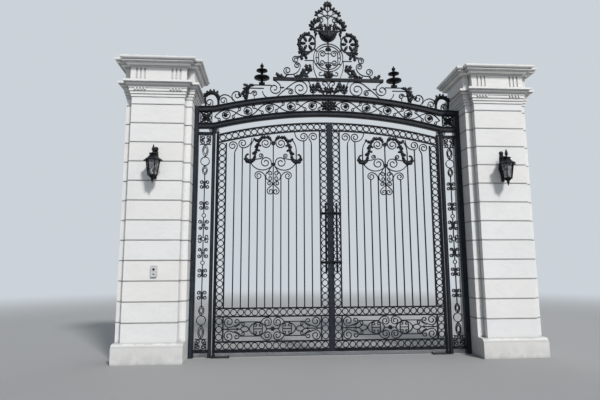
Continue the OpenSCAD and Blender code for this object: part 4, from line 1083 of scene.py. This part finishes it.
    def bowl(self) -> BMesh:
        """Overlapping leaves that rise from the foot of the bowl, on both faces.

        Returns:
            Its mesh.
        """
        bm = bmesh.new()
        foot = CREST_TOP + (self.bowl_z - self.bowl_r + self.bowl_leaf_foot) * MM
        for face in (0, 180):
            for reach, half, depth in self.bowl_fan:
                rise = self.bowl_r - self.bowl_leaf_drop - self.bowl_leaf_slope * abs(reach)
                lean = math.degrees(math.atan2(rise, reach))
                place = spun(face, "Z") @ in_plane(0, foot, lean, -(self.bowl_half + depth) * MM)
                leaf = CastLeaf(math.hypot(reach, rise) * MM, half * MM, self.bowl_relief, self.bowl_core)
                leaf.petal(bm, moved(0, GATE_Y, 0) @ place, 0.0, leaf.length, leaf.half_width)
        return bm


@dataclass
class Overthrow:
    """Bosses and the rosette of the arched frieze."""

    bosses: int = 5
    boss_r: float = 0.034
    boss_rise: float = 0.020
    boss_face: float = 0.0181
    first_boss: float = 0.79
    pitch: float = math.degrees(math.asin((ARCH_END - 0.034) / FRIEZE_MID_R)) / 5.2
    block_x: float = 2.0323
    block_z: float = 3.806
    petals: int = 8
    rosette_petal: Pair = (0.068, 0.024)
    rosette_foot: Pair = (0.02, -0.024)
    rosette_button: Point = (0.030, 0.014, 0.0352)
    rosette_relief: float = 0.010
    rosette_core: float = 0.006
    lobe: Pair = (0.142, 0.024)
    lobe_foot: float = 0.055
    lobe_turns: Sequence[float] = (-152, -28, 0, 28, 152, 180)
    block_petal: Pair = (0.068, 0.019)
    block_petal_span: Pair = (0.016, 0.070)
    block_ring: Pair = (0.079, 0.0065)

    def build(self) -> None:
        """Builds the buttons of the frieze and the rosette at its crown."""
        for side in Side:
            bm = bmesh.new()
            for i in range(self.bosses):
                a = math.radians((i + self.first_boss) * self.pitch)
                self.button(bm, FRIEZE_MID_R * math.sin(a), ARCH_Z + FRIEZE_MID_R * math.cos(a), side)
            self.button(bm, self.block_x, self.block_z, side)
            make_piece(f"{side.word}_frieze_bosses", bm, CAST, Edges.CAST)
            make_piece(f"{side.word}_block_rosette", self.block_rosette(side), CAST, Edges.CAST)
        bm = bmesh.new()
        length, half = self.rosette_petal
        for face in (0, 180):
            spin = in_plane(0.0, ARCH_Z + FRIEZE_MID_R) @ spun(face, "Z")
            for i in range(self.petals):
                place = spin @ spun(360 / self.petals * i, "Y") @ moved(*self.rosette_foot, 0)
                leaf = CastLeaf(length, half, self.rosette_relief, self.rosette_core)
                leaf.petal(bm, place, 0.0, length, half)
            dome(bm, spin, *self.rosette_button)
        length, half = self.lobe
        for lean in self.lobe_turns:
            place = in_plane(0.0, ARCH_Z + FRIEZE_MID_R, lean)
            CastLeaf(length, half).petal(bm, place, self.lobe_foot, length, half)
        make_piece("crown_rosette_leaves", bm, CAST, Edges.CAST)

    def block_rosette(self, side: Side) -> BMesh:
        """Eight petals in a ring, over the crossed bars of an end block.

        Args:
            side: Half of the gateway.

        Returns:
            Its mesh.
        """
        bm = bmesh.new()
        middle = mirrored(in_plane(self.block_x, self.block_z), side)
        length, half = self.block_petal
        for i in range(self.petals):
            spoke = middle @ spun(360 / self.petals * (i + 0.5), "Y")
            CastLeaf(length, half, self.rosette_relief).petal(bm, spoke, *self.block_petal_span, half)
        hoop(bm, middle, *self.block_ring)
        return bm

    def button(self, bm: BMesh, x: float, z: float, side: Side) -> None:
        """Adds a domed button on both faces of a boss.

        Args:
            bm: Mesh that grows.
            x: Distance from the centre line.
            z: Height.
            side: Half of the gateway.
        """
        for face in (0, 180):
            place = mirrored(in_plane(x, z) @ spun(face, "Z"), side)
            dome(bm, place, self.boss_r * 0.98, self.boss_rise, self.boss_face)


@dataclass
class FrameMouldings:
    """Flanges along both arched rails, beads on the jambs and posts, and curls under the lower rail."""

    rail_h: float = 0.085
    rail_radii: Sequence[float] = (7.660, 7.941)
    rail_ends: Sequence[float] = (3.622, 3.905)
    jamb_x: float = 2.143
    jamb_w: float = 0.072
    jamb_half: float = 0.040
    post_x: float = 1.873
    post_w: float = 0.050
    post_half: float = 0.030
    side_top: float = 3.557
    bead: float = 0.006
    bead_foot: float = 0.016
    steps: int = 72
    curl_reach: float = 0.056
    curl_drop: float = 0.0285
    curl_r: float = 0.022
    curl_bar: float = 0.006
    collar: Point = (0.086, 0.082, 0.018)
    side_collar: Point = (0.070, 0.072, 0.016)
    top_flange: Line = (
        (0.030, 0.014), (0.041, 0.015), (0.044, 0.021), (0.049, 0.030), (0.051, 0.037), (0.049, 0.043), (0.044, 0.0455))
    low_flange: Line = (
        (0.044, -0.0455), (0.048, -0.043), (0.050, -0.037), (0.047, -0.030), (0.042, -0.023), (0.039, -0.020),
        (0.030, -0.019))

    def rail_line(self, radius: float, end_z: float) -> list[Pair]:
        """Middle line of a rail from jamb to jamb.

        Args:
            radius: Radius of its underside.
            end_z: Height of its underside past the posts.

        Returns:
            Points as X and height.
        """
        middle = radius + self.rail_h / 2
        half_turn = math.asin(ARCH_END / middle)
        arc = [(middle * math.sin(a), ARCH_Z + middle * math.cos(a))
               for a in (half_turn * (2 * i / self.steps - 1) for i in range(self.steps + 1))]
        level = end_z + self.rail_h / 2
        return [(-self.jamb_x, level), *arc, (self.jamb_x, level)]

    def build(self) -> None:
        """Builds the flanges, beads and curls."""
        for word, radius, end_z in zip(("lower", "upper"), self.rail_radii, self.rail_ends):
            line = self.rail_line(radius, end_z)
            bm = bmesh.new()
            for half in (self.top_flange, self.low_flange):
                run_moulding(bm, line, [*half, *((-out, up) for out, up in reversed(half))])
            make_piece(f"{word}_rail_flanges", bm, PAINT, Edges.FORGED)
        for side in Side:
            bm = bmesh.new()
            for x, wide, half, top in ((self.jamb_x, self.jamb_w, self.jamb_half, self.rail_ends[1] + self.rail_h),
                                       (self.post_x, self.post_w, self.post_half, self.rail_ends[0])):
                for edge in (x + self.bead, x + wide - self.bead):
                    for face in (-1, 1):
                        self.upright_bead(bm, side.value * edge, GATE_Y + face * half, top)
            make_piece(f"{side.word}_upright_beads", bm, PAINT, Edges.CAST)
            bm = bmesh.new()
            middle, under = self.post_x + self.post_w / 2, self.rail_ends[0]
            for reach in (-self.curl_reach, self.curl_reach):
                place = mirrored(in_plane(middle + reach, under - self.curl_drop), side)
                hoop(bm, place, self.curl_r, self.curl_bar, 24)
                dome(bm, place, self.curl_r / 2, 0.008)
            block(bm, moved(side.value * middle, GATE_Y, under - 0.010), self.collar)
            block(bm, moved(side.value * middle, GATE_Y, self.side_top + 0.006), self.side_collar)
            make_piece(f"{side.word}_post_head", bm, PAINT, Edges.FORGED)

    def upright_bead(self, bm: BMesh, x: float, y: float, top: float) -> None:
        """Adds a half-round bead up the face of a post.

        Args:
            bm: Mesh that grows.
            x: Its distance from the centre line.
            y: Depth of the face.
            top: Height of its top.
        """
        skin(bm, [[bm.verts.new((x + self.bead * math.cos(t), y + self.bead * math.sin(t), z))
                   for t in round_steps(10)] for z in (self.bead_foot, top)])


@dataclass
class PierFittings:
    """Castings of the wall lanterns, the face of the call box and the bolts of the floor plates.

    A turned profile is pairs of radius and height. A dome is its radius, rise and foot. The plate's domes are
    pairs of height and radius, its head is height, radius and rise, and a rim side is X, height and two sizes.
    """

    pier_x: float = 2.721
    wall_y: float = -0.338
    lamp_z: float = 2.945
    lamp_out: float = 0.160
    eave: Pair = (0.130, 0.009)
    knee: Pair = (0.077, 0.044)
    crown: Pair = (0.042, 0.094)
    call_x: float = -2.681
    call_z: float = 1.232
    call_out: float = 0.022
    bolts_x: Pair = (1.611, 1.839)
    bolts_y: Pair = (-0.042, 0.042)
    plate_top: float = 0.013
    crown_ring: Line = (
        (0.044, 0.092), (0.058, 0.096), (0.063, 0.102), (0.062, 0.108), (0.055, 0.110), (0.030, 0.1065))
    top_bead: Line = ((0.012, 0.150), (0.024, 0.155), (0.028, 0.161), (0.023, 0.167), (0.012, 0.171))
    tail_bead: Line = ((0.010, -0.300), (0.019, -0.296), (0.021, -0.290), (0.016, -0.284))
    bolt: Line = ((0.013, 0.0), (0.013, 0.003), (0.0095, 0.0031), (0.0095, 0.009), (0.007, 0.011))
    plate_domes: Line = ((0.150, 0.020), (-0.060, 0.030), (-0.205, 0.018))
    plate_head: Point = (0.214, 0.036, 0.016)
    plate_dome_rise: float = 0.012
    rib: Pair = (0.009, 0.010)
    rib_spare: float = 0.004
    eave_end: Point = (0.016, 0.016, 0.020)
    lens_z: float = 0.110
    lens: Point = (0.018, 0.005, 0.0078)
    lens_ring: Pair = (0.022, 0.0025)
    button_z: float = 0.040
    button: Point = (0.030, 0.006, 0.012)
    # Dark sheet behind the box, a painted shadow.
    painted_shadow_sheet: Point = (0.086, 0.006, 0.162)
    rim: float = 0.005
    rim_sides: Sequence[tuple[float, float, float, float]] = (
        (-0.040, 0.080, 0.005, 0.158), (0.040, 0.080, 0.005, 0.158),
        (0.0, 0.002, 0.084, 0.005), (0.0, 0.158, 0.084, 0.005))

    def build(self) -> None:
        """Builds the fittings of both piers and the floor plates."""
        for side in Side:
            self.lantern(side)
            self.bolts(side)
        self.call_box()

    def lantern(self, side: Side) -> None:
        """Adds the crown ring, hip ribs, beads and the shell of the wall plate.

        Args:
            side: Half of the gateway.
        """
        bm = bmesh.new()
        middle = moved(side.value * self.pier_x, self.wall_y - self.lamp_out, self.lamp_z)
        for profile, sides in ((self.crown_ring, 24), (self.top_bead, 20), (self.tail_bead, 18)):
            turned(bm, middle, profile, sides)
        for i in range(6):
            spin = middle @ spun(60 * i, "Z")
            for low, high in ((self.eave, self.knee), (self.knee, self.crown)):
                run, rise = high[0] - low[0], high[1] - low[1]
                rib = spin @ moved((low[0] + high[0]) / 2, 0, (low[1] + high[1]) / 2)
                rib = rib @ Matrix.Rotation(math.atan2(-rise, run), 4, "Y")
                block(bm, rib, (math.hypot(run, rise) + self.rib_spare, *self.rib))
            block(bm, spin @ moved(self.eave[0], 0, 0.002), self.eave_end, 0.003)
        plate = moved(side.value * self.pier_x, self.wall_y - 0.002, self.lamp_z)
        head_z, head_r, head_rise = self.plate_head
        dome(bm, plate @ moved(0, 0, head_z), head_r, head_rise)
        for height, radius in self.plate_domes:
            dome(bm, plate @ moved(0, -0.010, height), radius, self.plate_dome_rise)
        make_piece(f"{side.word}_lantern_castings", bm, LAMP_PAINT, Edges.FORGED)

    def bolts(self, side: Side) -> None:
        """Adds four bolt heads to a floor plate.

        Args:
            side: Half of the gateway.
        """
        bm = bmesh.new()
        for x in self.bolts_x:
            for y in self.bolts_y:
                turned(bm, moved(side.value * x, GATE_Y + y, self.plate_top), self.bolt, 6)
        make_piece(f"{side.word}_plate_bolts", bm, FLOOR_IRON, Edges.CUT)

    def call_box(self) -> None:
        """Adds the lens, its ring, the button, a dark sheet behind the box as painted shadow, and the rim of the call
        box.
        """
        back = moved(self.call_x, self.wall_y, self.call_z)
        front = back @ moved(0, -self.call_out, 0)
        bm = bmesh.new()
        dome(bm, front @ moved(0, 0, self.lens_z), *self.lens)
        block(bm, front @ moved(0, -0.001, self.button_z), self.button)
        # Painted shadow: a dark sheet behind the box stands in for its shadow on the wall.
        block(bm, back @ moved(-0.001, -0.003, 0.079), self.painted_shadow_sheet)
        make_piece("call_box_lens_and_painted_shadow", bm, LENS_AND_SHADOW, Edges.FORGED)
        bm = bmesh.new()
        hoop(bm, front @ moved(0, -0.007, self.lens_z), *self.lens_ring)
        for x, z, wide, high in self.rim_sides:
            block(bm, front @ moved(x, -0.001, z), (wide, self.rim, high), 0.001)
        make_piece("call_box_frame", bm, STEEL, Edges.FORGED)


@dataclass
class LeafCastings:
    """Acanthus on the lyres of the two gate leaves, in spots like those of the crest."""

    lyre: Sequence[LeafSpot] = (
        (40, 410, 48, 100, 20), (112, 448, 2, 104, 24), (188, 424, -30, 92, 24), (226, 384, 10, 84, 24),
        (236, 352, -60, 104, 22), (250, 322, -42, 76, 22), (262, 262, -68, 96, 20), (284, 204, -36, 76, 22),
        (268, 238, 200, 58, 18), (244, 316, 196, 52, 16), (296, 146, -78, 84, 20), (300, 104, -68, 70, 24),
        (322, 62, -38, 84, 26), (372, 36, 2, 84, 26), (428, 52, 42, 66, 22))
    relief: float = 0.014
    core: float = 0.009
    depth: float = 0.0273

    def build(self) -> None:
        """Builds the leaves of both lyres."""
        for side in Side:
            bm = bmesh.new()
            for mirror in (-1, 1):
                middle = moved(LEAF_CENTRE_X, 0, 0) @ Matrix.Diagonal((mirror, 1, 1, 1))
                for x, z, degrees, length, half in self.lyre:
                    place = middle @ in_plane(x * MM, LYRE_Z + z * MM, degrees, GATE_Y - self.depth)
                    leaf = CastLeaf(length * MM, half * MM, self.relief, self.core, back=False)
                    leaf.add_to(bm, mirrored(place, side))
            make_piece(f"{side.word}_lyre_leaves", bm, CAST, Edges.CAST, side.leaf_body)


@dataclass
class HandleGrips:
    """Round sleeves on the pull handles, thicker at each bracket."""

    rod_x: float = 0.087
    ball: float = 0.0168
    radius: float = 0.0165
    collar: float = 0.0190
    bracket: float = 0.163
    collar_half: float = 0.013
    chamfer: float = 0.003
    gap: float = 0.004

    def build(self) -> None:
        """Builds the grips of both leaves."""
        for side in Side:
            low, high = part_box(f"{side.word}_leaf_handle")
            length = high[2] - low[2] - 2 * self.gap
            profile = [(self.radius * 0.9, 0.0), (self.radius, self.chamfer)]
            for middle in (self.bracket, length - self.bracket):
                inner, outer = self.collar_half, self.collar_half + self.chamfer
                profile += [(self.radius, middle - outer), (self.collar, middle - inner),
                            (self.collar, middle + inner), (self.radius, middle + outer)]
            profile += [(self.radius, length - self.chamfer), (self.radius * 0.9, length)]
            bm = bmesh.new()
            turned(bm, moved(side.value * self.rod_x, low[1] + self.ball, low[2] + self.gap), profile)
            make_piece(f"{side.word}_handle_grip", bm, CAST, Edges.TURNED, side.leaf_body)


@dataclass
class Studio:
    """Floor, light and camera."""

    floor: Colour = (0.312, 0.308, 0.303)
    backdrop: Colour = (0.60, 0.645, 0.69)
    zenith: Colour = (0.54, 0.61, 0.69)
    horizon: Colour = (0.36, 0.38, 0.41)
    ground: Colour = (0.20, 0.20, 0.196)
    flank_tint: Colour = (0.84, 0.95, 1.0)
    fade_from: float = 8.0
    fade_to: float = 22.0
    sun_power: float = 2.95
    sun_from: Point = (0.36, -0.74, 0.75)
    sun_spread: float = 9.0
    sun_colour: Colour = (1.0, 0.99, 0.975)
    lamp_at: Point = (3.0, 8.0, 8.0)
    lamp_aim: Point = (0.0, 0.0, 2.5)
    lamp_size: float = 5.0
    lamp_power: float = 180.0
    floor_half: float = 70.0
    floor_z: float = -0.001
    camera_at: Point = (-0.998, -7.341, 1.374)
    yaw: float = 0.0680
    pitch: float = 0.1432
    roll: float = -0.0044
    lens: float = 27.7

    def build(self) -> None:
        """Sets up the whole studio."""
        self.lay_floor()
        self.hang_sky()
        self.hang_lamps()
        self.set_camera()
        bpy.context.scene.view_settings.view_transform = "Standard"

    def lay_floor(self) -> None:
        """Lays a plain pale floor that fades into the backdrop."""
        bm = bmesh.new()
        bmesh.ops.create_grid(bm, x_segments=1, y_segments=1, size=self.floor_half)
        mesh = bpy.data.meshes.new("studio_floor")
        bm.to_mesh(mesh)
        bm.free()
        floor = put("studio_floor", mesh)
        floor.location.z = self.floor_z
        material = bpy.data.materials.new("studio_floor")
        material.use_nodes = True
        material.node_tree.nodes.clear()
        bench = NodeBench(material.node_tree)
        output = bench.add("ShaderNodeOutputMaterial")
        shader = bench.add("ShaderNodeBsdfPrincipled")
        shader.inputs["Base Color"].default_value = (*self.floor, 1.0)
        shader.inputs["Roughness"].default_value = 0.85
        shader.inputs["Specular IOR Level"].default_value = 0.2
        glow = bench.add("ShaderNodeEmission")
        glow.inputs["Color"].default_value = (*self.backdrop, 1.0)
        away = bench.add("ShaderNodeVectorMath", operation="LENGTH")
        bench.wire(bench.place(), away.inputs[0])
        mix = bench.add("ShaderNodeMixShader")
        bench.wire(bench.ramp(away.outputs["Value"], self.fade_from, self.fade_to), mix.inputs[0])
        bench.wire(shader.outputs[0], mix.inputs[1])
        bench.wire(glow.outputs[0], mix.inputs[2])
        bench.wire(mix.outputs[0], output.inputs["Surface"])
        mesh.materials.append(material)

    def hang_sky(self) -> None:
        """Makes a sky that is plain to the camera and shaded for everything it lights."""
        world = bpy.data.worlds.new("studio_sky")
        world.use_nodes = True
        world.node_tree.nodes.clear()
        bench = NodeBench(world.node_tree)
        output = bench.add("ShaderNodeOutputWorld")
        direction = bench.add("ShaderNodeTexCoord").outputs["Generated"]
        across, height = bench.axis(direction, "X"), bench.axis(direction, "Z")
        low = bench.mix(bench.ramp(height, -0.12, 0.02), self.ground, self.horizon)
        cool = bench.add("ShaderNodeVectorMath", operation="MULTIPLY")
        bench.wire(bench.mix(bench.ramp(height, 0.02, 0.75), low, self.zenith), cool.inputs[0])
        bench.wire(bench.mix(bench.ramp(across, -0.7, 0.1), self.flank_tint, (1.0, 1.0, 1.0)), cool.inputs[1])
        toned = bench.add("ShaderNodeVectorMath", operation="SCALE")
        bench.wire(cool.outputs[0], toned.inputs[0])
        bench.wire(bench.ramp(across, -0.8, 0.5, (0.45, 1.08)), toned.inputs["Scale"])
        path = bench.add("ShaderNodeLightPath")
        seen = bench.math("MAXIMUM", path.outputs["Is Camera Ray"], path.outputs["Is Transmission Ray"])
        background = bench.add("ShaderNodeBackground")
        bench.wire(bench.mix(seen, toned.outputs[0], self.backdrop), background.inputs["Color"])
        bench.wire(background.outputs[0], output.inputs["Surface"])
        bpy.context.scene.world = world

    def hang_lamps(self) -> None:
        """Hangs a soft sun from the street's right, and a weak lamp behind."""
        sun = bpy.data.lights.new("soft_sun", "SUN")
        sun.energy = self.sun_power
        sun.angle = math.radians(self.sun_spread)
        sun.color = self.sun_colour
        put("soft_sun", sun).rotation_euler = self.facing(self.sun_from)
        lamp = bpy.data.lights.new("back_lamp", "AREA")
        lamp.shape = "SQUARE"
        lamp.size = self.lamp_size
        lamp.energy = self.lamp_power
        light = put("back_lamp", lamp)
        light.location = self.lamp_at
        light.rotation_euler = self.facing(Vector(self.lamp_at) - Vector(self.lamp_aim))

    def facing(self, source: Sequence[float]) -> Euler:
        """Turn of a lamp whose light comes from a direction."""
        return Vector(source).to_track_quat("Z", "Y").to_euler()

    def set_camera(self) -> None:
        """Stands the camera where the photograph was taken."""
        data = bpy.data.cameras.new("street_camera")
        data.lens = self.lens
        data.sensor_width = 36.0
        data.clip_end = 200.0
        camera = put("street_camera", data)
        yaw, pitch, roll = self.yaw, self.pitch, self.roll
        forward = Vector((math.sin(yaw) * math.cos(pitch), math.cos(yaw) * math.cos(pitch), math.sin(pitch)))
        level = Vector((math.cos(yaw), -math.sin(yaw), 0.0))
        right = math.cos(roll) * level + math.sin(roll) * level.cross(forward)
        up = right.cross(forward)
        columns = (right, up, -forward, Vector(self.camera_at))
        camera.matrix_world = Matrix([[column[row] for column in columns] for row in range(3)] + [[0, 0, 0, 1]])
        bpy.context.scene.camera = camera


def dress_nodes(nodes: dict[str, Object]) -> None:
    """Gives every node of the frame its finish.

    Args:
        nodes: The frame's nodes.
    """
    for name, node in nodes.items():
        if "_pier_" in name:
            continue
        finish: Finish = PAINT
        if name.endswith("lantern_glass"):
            finish = GLASS
        elif name.endswith("lantern"):
            finish = LAMP_PAINT
        elif name == "call_box":
            finish = STEEL
        elif name == "floor_plates":
            finish = FLOOR_IRON
        elif name.startswith("overthrow"):
            finish = RAIL_WEB
        elif name.endswith(("jamb", "hanging_post", "meeting_side")):
            finish = POST_PAINT
        elif name.startswith("crest") or "lyre" in name:
            finish = CAST
        recoat(node, finish)


def main() -> None:
    """Builds and dresses the whole gateway."""
    logging.basicConfig(level=logging.INFO, format="%(name)s: %(message)s")
    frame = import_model()
    nodes = frame["nodes"]
    Studio().build()
    Piers().dress(nodes)
    StoneFillets().build()
    dress_nodes(nodes)
    CrestLeaves().build()
    Overthrow().build()
    FrameMouldings().build()
    PierFittings().build()
    LeafCastings().build()
    HandleGrips().build()


if __name__ == "__main__":
    main()
